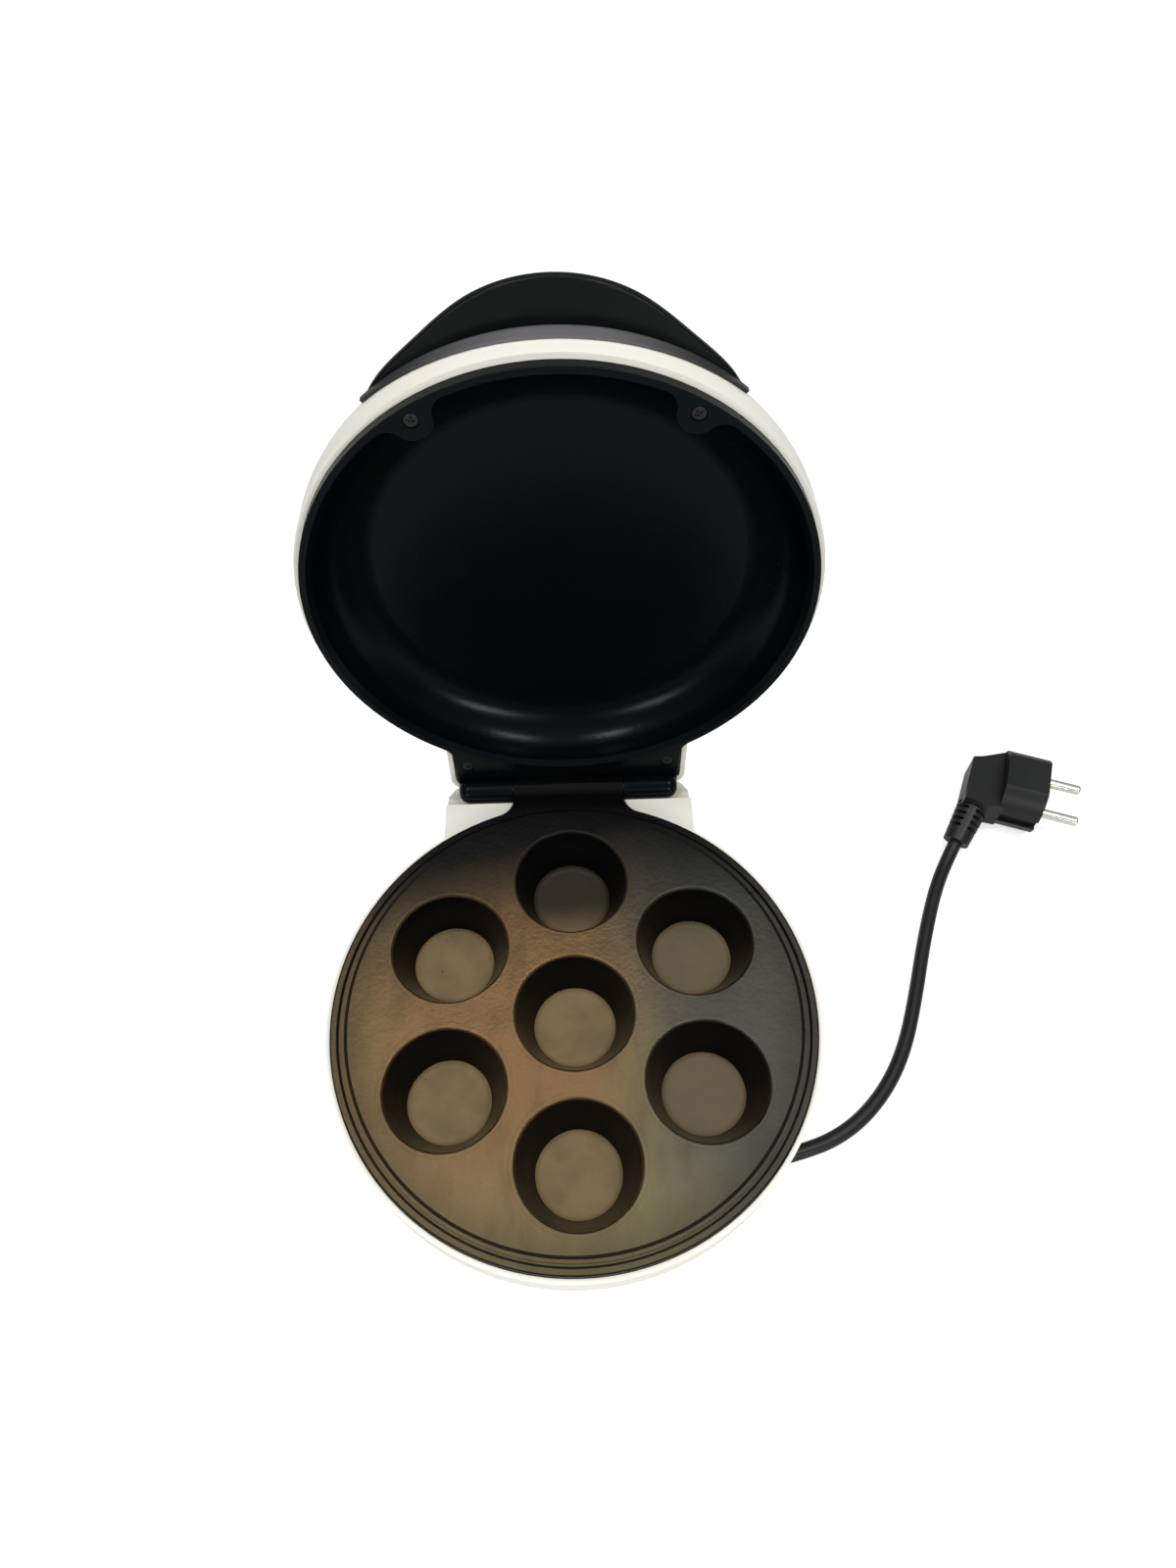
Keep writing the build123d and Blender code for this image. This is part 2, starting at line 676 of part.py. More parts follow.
# Lower heating element: an open ring with its ends turned down
element_z = web_under - SEAT_GAP - ELEMENT_R
with BuildPart() as lower_heating_element:
    with BuildSketch(upright_plane(90 + element_half_gap)):
        with Locations((LOWER_ELEMENT_PITCH_R, element_z)):
            Circle(ELEMENT_R)
    revolve(axis=base_axis, revolution_arc=360 - ELEMENT_GAP_ANGLE)
    with BuildSketch(base_plane(element_z)):
        with Locations(*lower_terminals):
            Circle(ELEMENT_R)
    extrude(amount=-TERMINAL_LENGTH)
lower_heating_element.part.label = "lower_heating_element"
export_step(lower_heating_element.part, "parts/lower_heating_element.step")

# Lower heat shield: a shallow pan between the columns and the bosses
with BuildPart() as lower_heat_shield:
    with BuildSketch(base_plane(SHIELD_Z)):
        Circle(SHIELD_R)
    extrude(amount=SHIELD_THICKNESS)
    with BuildSketch(base_plane(SHIELD_Z)):
        Circle(SHIELD_R)
        Circle(SHIELD_R - SHIELD_THICKNESS, mode=Mode.SUBTRACT)
    extrude(amount=SHIELD_RIM)
    with BuildSketch(base_plane(SHIELD_Z)):
        Circle(SHIELD_HOLE_R)
        with Locations(*boss_centres):
            Circle(SCREW_R + SCREW_CLEAR)
        with Locations(*lower_terminals):
            Circle(ELEMENT_R + TERMINAL_HOLE_CLEAR)
    extrude(amount=SHIELD_THICKNESS, mode=Mode.SUBTRACT)
lower_heat_shield.part.label = "lower_heat_shield"
export_step(lower_heat_shield.part, "parts/lower_heat_shield.step")

# Thermostat under the middle cup, with its two tabs
thermostat_foot = SHIELD_Z - SHIELD_THICKNESS
with BuildPart() as thermostat:
    with BuildSketch(base_plane(shield_top)):
        Circle(THERMOSTAT_R)
    extrude(amount=cup_under - SEAT_GAP - shield_top)
    with BuildSketch(base_plane(thermostat_foot)):
        Circle(SHIELD_HOLE_R - TERMINAL_HOLE_CLEAR)
    extrude(amount=shield_top - thermostat_foot)
    with BuildSketch(base_plane(thermostat_foot)):
        with GridLocations(THERMOSTAT_TAB_PITCH, 0, 2, 1):
            Rectangle(THERMOSTAT_TAB_THICKNESS, THERMOSTAT_TAB_WIDTH)
    extrude(amount=-THERMOSTAT_TAB_LENGTH)
thermostat.part.label = "thermostat"
export_step(thermostat.part, "parts/thermostat.step")

# Thermal fuse, strapped under the heat shield
fuse_z = SHIELD_Z - SEAT_GAP - FUSE_R
strap_in_r = FUSE_R + SEAT_GAP
strap_out_r = strap_in_r + FUSE_STRAP_WALL
with BuildPart() as thermal_fuse:
    with BuildSketch(fuse_plane(fuse_z, FUSE_LENGTH)):
        Circle(FUSE_R)
    extrude(amount=FUSE_LENGTH)
thermal_fuse.part.label = "thermal_fuse"
export_step(thermal_fuse.part, "parts/thermal_fuse.step")

with BuildPart() as fuse_strap:
    with BuildSketch(fuse_plane(fuse_z, FUSE_STRAP_WIDTH)):
        Circle(strap_out_r)
        Rectangle(
            2 * strap_out_r, SHIELD_Z - fuse_z, align=(Align.CENTER, Align.MIN)
        )
        with Locations((0, SHIELD_Z - fuse_z)):
            Rectangle(
                2 * (strap_out_r + FUSE_STRAP_FOOT),
                FUSE_STRAP_WALL,
                align=(Align.CENTER, Align.MAX),
            )
        Circle(strap_in_r, mode=Mode.SUBTRACT)
        Rectangle(
            2 * strap_in_r,
            SHIELD_Z - fuse_z,
            align=(Align.CENTER, Align.MIN),
            mode=Mode.SUBTRACT,
        )
        with Locations((0, SHIELD_Z - fuse_z)):
            Rectangle(
                2 * strap_out_r,
                strap_out_r,
                align=(Align.CENTER, Align.MIN),
                mode=Mode.SUBTRACT,
            )
    extrude(amount=FUSE_STRAP_WIDTH)
fuse_strap.part.label = "fuse_strap"
export_step(fuse_strap.part, "parts/fuse_strap.step")

# Terminal block on the bottom cover
well_pitch = BLOCK_LENGTH / BLOCK_WELLS
with BuildPart() as terminal_block:
    with BuildSketch(base_plane(cover_top)):
        with Locations((BLOCK_X, BLOCK_Y)):
            Rectangle(BLOCK_LENGTH, BLOCK_WIDTH)
    extrude(amount=BLOCK_HEIGHT)
    with BuildSketch(base_plane(cover_top + BLOCK_HEIGHT)):
        with Locations((BLOCK_X, BLOCK_Y)):
            with GridLocations(well_pitch, 0, BLOCK_WELLS, 1):
                Circle(BLOCK_WELL_R)
    extrude(amount=-BLOCK_HEIGHT / 2, mode=Mode.SUBTRACT)
terminal_block.part.label = "terminal_block"
export_step(terminal_block.part, "parts/terminal_block.step")

# Hinge pin through the three knuckles
pin_length = BARREL_LENGTH - 2 * PIN_END_WALL
with BuildPart() as hinge_pin:
    with BuildSketch(hinge_plane(-pin_length / 2)):
        Circle(PIN_R)
    extrude(amount=pin_length)
hinge_pin.part.label = "hinge_pin"
export_step(hinge_pin.part, "parts/hinge_pin.step")

# Lid plate: a deep dish with two screw lobes, an ear and the outer knuckles
dish_outer_fillet = DISH_FILLET + DISH_WALL
dish_back = DISH_DEPTH + DISH_WALL
fillet_level = DISH_DEPTH - DISH_FILLET
lobe_points = both_sides(LOBE_X, LOBE_Y)
ear_points = both_sides(EAR_SCREW_X, EAR_SCREW_Y)
with BuildSketch() as rim_and_ear:
    Circle(PLATE_R)
    Rectangle(2 * EAR_HALF, EAR_END, align=(Align.CENTER, Align.MIN))
    fillet(rim_and_ear.vertices().sort_by(Axis.Y)[-4:-2], EAR_FLARE)
with BuildPart() as lobe_frame:
    with BuildSketch(lid_plane(-RIM_GAP)) as lobe_outline:
        Circle(PLATE_R)
        Circle(DISH_R, mode=Mode.SUBTRACT)
        with Locations(*lobe_points):
            Circle(LOBE_R)
        # growing and shrinking again rounds the corners beside each lobe
        offset(amount=LOBE_FILLET, mode=Mode.REPLACE)
        offset(amount=-LOBE_FILLET, mode=Mode.REPLACE)
    extrude(amount=LOBE_DEPTH + RIM_GAP)
with BuildPart() as dish_hollow:
    with BuildSketch(lid_section):
        with BuildLine():
            Polyline(
                (DISH_FLOOR_R + DISH_FILLET, fillet_level),
                (DISH_R, 0),
                (DISH_R, -RIM_GAP),
                (0, -RIM_GAP),
                (0, DISH_DEPTH),
                (DISH_FLOOR_R, DISH_DEPTH),
            )
            CenterArc((DISH_FLOOR_R, fillet_level), DISH_FILLET, 0, 90)
        make_face()
    revolve(axis=lid_axis)
    add(lobe_frame.part, mode=Mode.SUBTRACT)
with BuildPart() as lid_knuckles:
    for side in (-1, 1):
        with BuildSketch(hinge_plane(side * (KNUCKLE_LENGTH / 2 + KNUCKLE_GAP))):
            Circle(BARREL_R)
        extrude(amount=side * (BARREL_LENGTH - KNUCKLE_LENGTH - 2 * KNUCKLE_GAP) / 2)
    ends = lid_knuckles.edges().filter_by(GeomType.CIRCLE).sort_by(Axis.X)
    fillet([ends[0], ends[-1]], KNUCKLE_END_FILLET)
with BuildPart() as lid_plate:
    with BuildSketch(lid_section):
        with BuildLine():
            Polyline(
                (DISH_FLOOR_R + dish_outer_fillet, fillet_level),
                (DISH_FLOOR_R + dish_outer_fillet, 0),
                (0, 0),
                (0, dish_back),
                (DISH_FLOOR_R, dish_back),
            )
            CenterArc((DISH_FLOOR_R, fillet_level), dish_outer_fillet, 0, 90)
        make_face()
        with Locations((PLATE_R, 0)):
            Rectangle(
                PLATE_R - DISH_FLOOR_R, RIM_DEPTH, align=(Align.MAX, Align.MIN)
            )
    revolve(axis=lid_axis)
    with BuildSketch(lid_plane(0)):
        add(rim_and_ear.sketch)
    extrude(amount=RIM_DEPTH)
    add(dish_hollow.part, mode=Mode.SUBTRACT)
    # room for the plate's knuckle, then the lid's own two
    with BuildSketch(hinge_plane(-KNUCKLE_LENGTH / 2 - KNUCKLE_GAP)):
        Circle(BARREL_R + KNUCKLE_GAP)
    extrude(amount=KNUCKLE_LENGTH + 2 * KNUCKLE_GAP, mode=Mode.SUBTRACT)
    add(lid_knuckles.part)
    with BuildSketch(hinge_plane(-pin_length / 2 - PIN_CLEAR)):
        Circle(PIN_R + PIN_CLEAR)
    extrude(amount=pin_length + 2 * PIN_CLEAR, mode=Mode.SUBTRACT)
    # room for the dome's bosses behind the lobes, and the screw holes
    with BuildSketch(lid_plane(LOBE_WEB)):
        with Locations(*lobe_points):
            Circle(LID_BOSS_R + LID_BOSS_CLEAR)
    extrude(amount=dish_back - LOBE_WEB, mode=Mode.SUBTRACT)
    with BuildSketch(lid_plane(0)):
        with Locations(*lobe_points, *ear_points):
            Circle(LID_SCREW_R + SCREW_CLEAR)
    extrude(amount=RIM_DEPTH, mode=Mode.SUBTRACT)
    with BuildSketch(lid_plane(0)):
        with Locations(*lobe_points, *ear_points):
            Circle(LID_SCREW_HEAD_R + HEAD_CLEAR)
    extrude(amount=LID_SCREW_HEAD_HEIGHT, mode=Mode.SUBTRACT)
lid_plate.part.label = "lid_plate"
export_step(lid_plate.part, "parts/lid_plate.step")

# Lid shell: a dome with a heel over the hinge and bosses for the screws
lid_in_r = SHELL_R - LID_WALL
band_top = LID_EDGE + LID_BAND
dome_ceiling = dome_top - LID_WALL
ledge_back = RIM_DEPTH + LID_LEDGE_THICKNESS
with BuildPart() as lid_hollow:
    with BuildSketch(lid_section):
        with BuildLine():
            EllipticalCenterArc(
                (dome_flat_r, band_top),
                lid_in_r - dome_flat_r,
                DOME_RISE - LID_WALL,
                start_angle=0,
                arc_size=90,
            )
            Polyline(
                (dome_flat_r, dome_ceiling),
                (0, dome_ceiling),
                (0, LID_EDGE),
                (lid_in_r, LID_EDGE),
                (lid_in_r, RIM_DEPTH),
                (lid_in_r - LID_LEDGE, RIM_DEPTH),
                (lid_in_r - LID_LEDGE, ledge_back),
                (lid_in_r, ledge_back),
                (lid_in_r, band_top),
            )
        make_face()
    revolve(axis=lid_axis)
    with BuildSketch(lid_plane(LID_EDGE)) as heel_hollow:
        Rectangle(
            2 * (LID_HEEL_HALF - LID_WALL),
            LID_HEEL_Y - LID_WALL,
            align=(Align.CENTER, Align.MIN),
        )
        fillet(heel_hollow.vertices().group_by(Axis.Y)[-1], LID_HEEL_CORNER - LID_WALL)
    extrude(amount=LID_HEEL_TOP - LID_WALL - LID_EDGE)
    with BuildSketch(lid_plane(LID_EDGE)):
        add(rim_and_ear.sketch)
        offset(amount=EAR_CLEAR)
    extrude(amount=RIM_DEPTH - LID_EDGE)
    with BuildSketch(lid_plane(LID_EDGE)):
        with Locations(*lobe_points):
            Circle(LID_BOSS_R)
    extrude(amount=dome_top, mode=Mode.SUBTRACT)
    with BuildSketch(lid_plane(RIM_DEPTH)):
        with Locations(*ear_points):
            Circle(LID_BOSS_R)
    extrude(amount=dome_top, mode=Mode.SUBTRACT)
    for x in (-HANDLE_SCREW_X, HANDLE_SCREW_X):
        with BuildSketch(front_plane(x, HANDLE_SCREW_HEAD_Y, HANDLE_SCREW_LEVEL)):
            Circle(HANDLE_BOSS_R)
        extrude(amount=SHELL_R + HANDLE_SCREW_HEAD_Y, mode=Mode.SUBTRACT)
dome = dome_solid(0)
with BuildPart() as lid_shell:
    with BuildSketch(lid_plane(LID_HEEL_RIM)) as lid_heel:
        Rectangle(2 * LID_HEEL_HALF, LID_HEEL_Y, align=(Align.CENTER, Align.MIN))
        fillet(lid_heel.vertices().group_by(Axis.Y)[-1], LID_HEEL_CORNER)
    extrude(amount=LID_HEEL_TOP - LID_HEEL_RIM)
    fillet(lid_shell.faces().sort_by(lid_axis)[-1].edges(), LID_HEEL_ROUND)
    add(dome)
    add(lid_hollow.part, mode=Mode.SUBTRACT)
    with BuildSketch(lid_plane(LOBE_WEB)):
        with Locations(*lobe_points):
            Circle(LID_BOSS_R)
    extrude(amount=ledge_back - LOBE_WEB)
    with BuildSketch(lid_plane(LOBE_WEB)):
        with Locations(*lobe_points, *ear_points):
            Circle(LID_SCREW_R + SCREW_CLEAR)
    extrude(amount=LID_SCREW_LENGTH, mode=Mode.SUBTRACT)
    for x in (-HANDLE_SCREW_X, HANDLE_SCREW_X):
        with BuildSketch(front_plane(x, HANDLE_SCREW_HEAD_Y, HANDLE_SCREW_LEVEL)):
            Circle(LID_SCREW_R + SCREW_CLEAR)
        extrude(amount=HANDLE_SCREW_LENGTH, mode=Mode.SUBTRACT)
    with BuildSketch(lid_plane(dome_ceiling)):
        with Locations(*both_sides(LAMP_X, LAMP_Y)):
            Circle(LAMP_R + LAMP_CLEAR)
    extrude(amount=LID_WALL, mode=Mode.SUBTRACT)
lid_shell.part.label = "lid_shell"
export_step(lid_shell.part, "parts/lid_shell.step")

# Screws that hold the lid plate to the dome
with BuildPart() as lid_plate_screws:
    with BuildSketch(lid_plane(0)):
        with Locations(*lobe_points, *ear_points):
            Circle(LID_SCREW_HEAD_R)
    extrude(amount=LID_SCREW_HEAD_HEIGHT)
    with BuildSketch(lid_plane(LID_SCREW_HEAD_HEIGHT)):
        with Locations(*lobe_points, *ear_points):
            Circle(LID_SCREW_R)
    extrude(amount=LID_SCREW_LENGTH - LID_SCREW_HEAD_HEIGHT)
lid_plate_screws.part.label = "lid_plate_screws"
export_step(lid_plate_screws.part, "parts/lid_plate_screws.step")

# Upper heating element, seated on the dish's back
upper_element_level = dish_back + SEAT_GAP + ELEMENT_R
upper_ends = [90 - element_half_gap, 90 + element_half_gap]
with BuildPart() as upper_heating_element:
    with BuildSketch(lid_upright_plane(90 + element_half_gap)):
        with Locations((UPPER_ELEMENT_PITCH_R, upper_element_level)):
            Circle(ELEMENT_R)
    revolve(axis=lid_axis, revolution_arc=360 - ELEMENT_GAP_ANGLE)
    for x, y in around(UPPER_ELEMENT_PITCH_R, upper_ends):
        with BuildSketch(back_plane(x, y, upper_element_level)):
            Circle(ELEMENT_R)
        extrude(amount=UPPER_TERMINAL_LENGTH)
upper_heating_element.part.label = "upper_heating_element"
export_step(upper_heating_element.part, "parts/upper_heating_element.step")

# Upper heat shield: a pan turned over the element
with BuildPart() as upper_heat_shield:
    with BuildSketch(lid_plane(dish_back)):
        Circle(UPPER_SHIELD_R)
    extrude(amount=UPPER_SHIELD_HEIGHT)
    with BuildSketch(lid_plane(dish_back)):
        Circle(UPPER_SHIELD_R - SHIELD_THICKNESS)
    extrude(amount=UPPER_SHIELD_HEIGHT - SHIELD_THICKNESS, mode=Mode.SUBTRACT)
upper_heat_shield.part.label = "upper_heat_shield"
export_step(upper_heat_shield.part, "parts/upper_heat_shield.step")

# Lamps on the dome, in a holder under its ceiling
lamp_foot = dome_ceiling - LAMP_DEPTH
for side, name in ((-1, "power_lamp_lens"), (1, "ready_lamp_lens")):
    with BuildPart() as lamp_lens:
        with BuildSketch(lid_plane(lamp_foot, side * LAMP_X, LAMP_Y)):
            Circle(LAMP_R)
        extrude(amount=dome_top - lamp_foot + LAMP_PROUD)
        fillet(lamp_lens.edges().group_by(lid_axis)[-1], LAMP_PROUD)
        with BuildSketch(lid_plane(dome_ceiling, side * LAMP_X, LAMP_Y)):
            Circle(LAMP_FLANGE_R)
        extrude(amount=-LAMP_PROUD)
    lamp_lens.part.label = name
    export_step(lamp_lens.part, f"parts/{name}.step")

with BuildPart() as lamp_holder:
    with BuildSketch(lid_plane(lamp_foot, 0, LAMP_Y)):
        Rectangle(HOLDER_WIDTH, HOLDER_DEPTH)
    extrude(amount=-HOLDER_THICKNESS)
    with BuildSketch(lid_plane(lamp_foot, 0, LAMP_Y)):
        with GridLocations(HOLDER_WIDTH - HOLDER_LEG, 0, 2, 1):
            Rectangle(HOLDER_LEG, HOLDER_DEPTH)
    extrude(amount=LAMP_DEPTH)
lamp_holder.part.label = "lamp_holder"
export_step(lamp_holder.part, "parts/lamp_holder.step")

# Handle: a crescent lip with a thin root on the dome's band
def lip_point(x, reach):
    """Point of the handle's outline, given by its side and its reach past the shell."""
    return (x, -SHELL_R - reach)


lip_end_y = lip_point(HANDLE_END_X, HANDLE_END_REACH)[1]
root_foot = HANDLE_LEVEL - HANDLE_ROOT
root_r = SHELL_R + HANDLE_FIT + HANDLE_ROOT_WALL
handle_seat = dome_solid(HANDLE_FIT)
with BuildPart() as handle:
    with BuildSketch(lid_plane(HANDLE_LEVEL)):
        with BuildLine():
            edge = Spline(
                lip_point(-HANDLE_END_X, HANDLE_END_REACH),
                lip_point(-HANDLE_SIDE_X, HANDLE_SIDE_REACH),
                lip_point(-HANDLE_FLANK_X, HANDLE_FLANK_REACH),
                lip_point(-HANDLE_SHOULDER_X, HANDLE_SHOULDER_REACH),
                lip_point(0, HANDLE_TIP_REACH),
                lip_point(HANDLE_SHOULDER_X, HANDLE_SHOULDER_REACH),
                lip_point(HANDLE_FLANK_X, HANDLE_FLANK_REACH),
                lip_point(HANDLE_SIDE_X, HANDLE_SIDE_REACH),
                lip_point(HANDLE_END_X, HANDLE_END_REACH),
            )
            Line(edge @ 1, edge @ 0)
        make_face()
    extrude(amount=HANDLE_THICKNESS)
    rims = handle.edges().filter_by(GeomType.BSPLINE).sort_by(lid_axis)
    fillet(rims[-1], HANDLE_CROWN)
    rims = handle.edges().filter_by(GeomType.BSPLINE).sort_by(lid_axis)
    fillet(rims[0], HANDLE_EDGE)
    with BuildSketch(lid_plane(root_foot)):
        Circle(root_r)
        with Locations((0, lip_end_y)):
            Rectangle(
                2 * root_r, 2 * root_r, align=(Align.CENTER, Align.MIN), mode=Mode.SUBTRACT
            )
    extrude(amount=HANDLE_ROOT)
    # the root's foot rises from the centre to the lip's ends
    with BuildSketch(side_plane(-root_r)):
        with BuildLine():
            Polyline(
                (-root_r, root_foot),
                (lip_end_y, HANDLE_LEVEL),
                (lip_end_y, root_foot - HANDLE_ROOT),
                (-root_r, root_foot - HANDLE_ROOT),
                close=True,
            )
        make_face()
    extrude(amount=2 * root_r, mode=Mode.SUBTRACT)
    add(handle_seat, mode=Mode.SUBTRACT)
    for x in (-HANDLE_SCREW_X, HANDLE_SCREW_X):
        with BuildSketch(front_plane(x, HANDLE_SCREW_HEAD_Y, HANDLE_SCREW_LEVEL)):
            Circle(LID_SCREW_R + SCREW_CLEAR)
        extrude(amount=HANDLE_SCREW_LENGTH + SCREW_CLEAR, mode=Mode.SUBTRACT)
handle.part.label = "handle"
export_step(handle.part, "parts/handle.step")

with BuildPart() as handle_screws:
    for x in (-HANDLE_SCREW_X, HANDLE_SCREW_X):
        with BuildSketch(front_plane(x, HANDLE_SCREW_HEAD_Y, HANDLE_SCREW_LEVEL)):
            Circle(HANDLE_SCREW_HEAD_R)
        extrude(amount=-HANDLE_SCREW_HEAD_HEIGHT)
        with BuildSketch(front_plane(x, HANDLE_SCREW_HEAD_Y, HANDLE_SCREW_LEVEL)):
            Circle(LID_SCREW_R)
        extrude(amount=HANDLE_SCREW_LENGTH)
handle_screws.part.label = "handle_screws"
export_step(handle_screws.part, "parts/handle_screws.step")

# Cord gland: a moulded elbow from inside the base into the hub's hollow
with BuildPart() as cord_gland:
    with BuildSketch(base_plane(COVER_Z)) as gland_outline:
        with Locations((ENTRY_R, gland_face)):
            Rectangle(GLAND_WIDTH, GLAND_LENGTH, align=(Align.CENTER, Align.MAX))
        fillet(gland_outline.vertices().group_by(Axis.Y)[0], GLAND_WIDTH / 3)
    extrude(amount=-GLAND_DEPTH)
    with BuildSketch(base_plane(COVER_Z)):
        with Locations(gland_stem):
            Circle(GLAND_STEM_R)
    extrude(amount=GLAND_STEM_HEIGHT)
cord_gland.part.label = "cord_gland"
export_step(cord_gland.part, "parts/cord_gland.step")

# Cord wound round the hub: each half turn is an arc a step larger
wind_out_r = WIND_R + (WIND_HALF_TURNS - 1) * WIND_STEP
with BuildPart() as cord_winding:
    with BuildLine(base_plane(WIND_Z)) as turns:
        start = Line((ENTRY_R, gland_face), (ENTRY_R, gland_face + END_RUN))
        arc = JernArc(start @ 1, start % 1, ENTRY_R, 90)
        for i in range(WIND_HALF_TURNS):
            arc = JernArc(arc @ 1, arc % 1, WIND_R + i * WIND_STEP, 180)
        finish = Line(arc @ 1, arc @ 1 + (arc % 1) * END_RUN)
    wound = turns.wire()
    with BuildSketch(Plane(wound @ 0, z_dir=wound % 0)):
        Circle(CORD_R)
    sweep(path=wound)
cord_winding.part.label = "cord_winding"
export_step(cord_winding.part, "parts/cord_winding.step")

steps = int(wound.length)
points = [wound @ (i / steps) for i in range(steps + 1)]
apart = int(4 * CORD_R)
least = min(
    (points[i] - points[j]).length
    for i in range(0, len(points), 2)
    for j in range(i + apart, len(points), 2)
)
print("winding: length", round(wound.length, 1), "gap", round(least - 2 * CORD_R, 2))

# Plug: an angled head, a flat body and a slotted strain relief
plug_plane = Plane(
    (PLUG_X, BASE_Y + PLUG_Y, PLUG_Z),
    x_dir=(cos(radians(PLUG_TURN)), sin(radians(PLUG_TURN)), 0),
    z_dir=(0, 0, 1),
)
plug_face = Plane(plug_plane.origin, x_dir=plug_plane.y_dir, z_dir=plug_plane.x_dir)
relief_root = plug_plane.from_local_coords(Vector(*RELIEF_ROOT))
relief_end = plug_plane.from_local_coords(Vector(*RELIEF_END))
relief_way = (relief_end - relief_root).normalized()
relief_length = (relief_end - relief_root).length


def relief_plane(distance):
    """Plane across the strain relief, measured from its root."""
    side = relief_way.cross(Vector(0, 0, 1))
    return Plane(relief_root + relief_way * distance, x_dir=side, z_dir=relief_way)


with BuildPart() as plug_body:
    with BuildSketch(plug_face):
        Circle(PLUG_HEAD_R)
        Rectangle(
            2 * PLUG_HEAD_R, 2 * PLUG_HEAD_FLAT, mode=Mode.INTERSECT
        )
        with GridLocations(2 * PLUG_HEAD_R, 0, 2, 1):
            Rectangle(2 * PLUG_KEY_DEPTH, PLUG_KEY_WIDTH, mode=Mode.SUBTRACT)
    extrude(amount=-PLUG_HEAD_LENGTH)
    with BuildSketch(plug_plane.offset(-PLUG_BODY_HALF)):
        with BuildLine():
            Polyline(*PLUG_BODY_OUTLINE, close=True)
        make_face()
    extrude(amount=2 * PLUG_BODY_HALF)
    with BuildSketch(relief_plane(0)):
        Circle(RELIEF_ROOT_R)
    with BuildSketch(relief_plane(relief_length)):
        Circle(RELIEF_R)
    loft()
    # slots on both sides of the relief, up to its core and its two spines
    for i in range(RELIEF_SLOTS):
        gap_at = relief_length - COLLAR_LENGTH - (i + 1) * RELIEF_SLOT_PITCH
        with BuildSketch(relief_plane(gap_at)):
            Circle(RELIEF_ROOT_R)
            Circle(CORD_R + RELIEF_CORE_WALL, mode=Mode.SUBTRACT)
            Rectangle(RELIEF_SPINE, 2 * RELIEF_ROOT_R, mode=Mode.SUBTRACT)
        extrude(amount=RELIEF_SLOT_WIDTH, mode=Mode.SUBTRACT)
    with BuildSketch(plug_face):
        with GridLocations(PLUG_PIN_SPACING, 0, 2, 1):
            Circle(PLUG_PIN_R + SEAT_GAP)
    extrude(amount=-PLUG_PIN_ROOT, mode=Mode.SUBTRACT)
plug_body.part.label = "plug_body"
export_step(plug_body.part, "parts/plug_body.step")

with BuildPart() as plug_pins:
    with BuildSketch(plug_face.offset(-PLUG_PIN_ROOT)):
        with GridLocations(PLUG_PIN_SPACING, 0, 2, 1):
            Circle(PLUG_PIN_R)
    extrude(amount=PLUG_PIN_ROOT + PLUG_PIN_LENGTH)
    tips = plug_pins.edges().group_by(Axis(plug_face.origin, plug_face.z_dir))[-1]
    fillet(tips, PLUG_PIN_R / 2)
plug_pins.part.label = "plug_pins"
export_step(plug_pins.part, "parts/plug_pins.step")

# Free stretch of the cord: straight runs joined by the widest arcs they allow
exit_point = wound @ 1
route = [exit_point, exit_point + (wound % 1) * FREE_FIRST_RUN]
route += [Vector(x, BASE_Y + y, z) for x, y, z in FREE_CORD]
route += [relief_end + relief_way * FREE_LAST_RUN, relief_end]
radii = []
for before, corner, after in zip(route, route[1:], route[2:]):
    turn = radians((corner - before).get_angle(after - corner))
    shorter = min((corner - before).length, (after - corner).length)
    radii.append(ARC_SHARE * shorter / tan(turn / 2))
with BuildPart() as power_cord:
    with BuildLine() as lie:
        FilletPolyline(*route, radius=radii)
    lain = lie.wire()
    with BuildSketch(Plane(lain @ 0, z_dir=lain % 0)):
        Circle(CORD_R)
    sweep(path=lain)
power_cord.part.label = "power_cord"
export_step(power_cord.part, "parts/power_cord.step")

tube_volume = pi * CORD_R**2 * lain.length
print("free cord: length", round(lain.length, 1))
print("free cord: radii", [round(r) for r in radii])
print("free cord: volume ratio", round(power_cord.part.volume / tube_volume, 4))
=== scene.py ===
import logging
import math
from dataclasses import dataclass, field
from enum import Enum
from typing import Any, Iterable, Sequence, Union

import bmesh
import bpy
from mathutils import Matrix, Vector


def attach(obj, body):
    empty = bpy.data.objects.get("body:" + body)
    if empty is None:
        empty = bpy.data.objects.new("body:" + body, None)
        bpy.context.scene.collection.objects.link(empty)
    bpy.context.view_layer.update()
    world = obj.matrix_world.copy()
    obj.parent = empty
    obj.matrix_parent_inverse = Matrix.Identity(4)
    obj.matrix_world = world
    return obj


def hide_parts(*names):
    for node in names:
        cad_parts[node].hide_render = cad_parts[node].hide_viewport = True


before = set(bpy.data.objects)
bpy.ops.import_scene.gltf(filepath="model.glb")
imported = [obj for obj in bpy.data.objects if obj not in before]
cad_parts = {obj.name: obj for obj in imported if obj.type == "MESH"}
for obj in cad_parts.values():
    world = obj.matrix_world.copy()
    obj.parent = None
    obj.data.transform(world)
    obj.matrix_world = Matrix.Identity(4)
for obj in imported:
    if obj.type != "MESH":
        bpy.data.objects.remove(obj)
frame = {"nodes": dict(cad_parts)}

"""A round muffin maker with its lid open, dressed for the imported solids.

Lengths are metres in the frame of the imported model. The base rides on "base"
and the dome with its dish rides on "lid".
"""

log = logging.getLogger("muffin_maker")

Point = tuple[float, float, float]
Colour = tuple[float, float, float]
Number = Union[float, "Wire"]

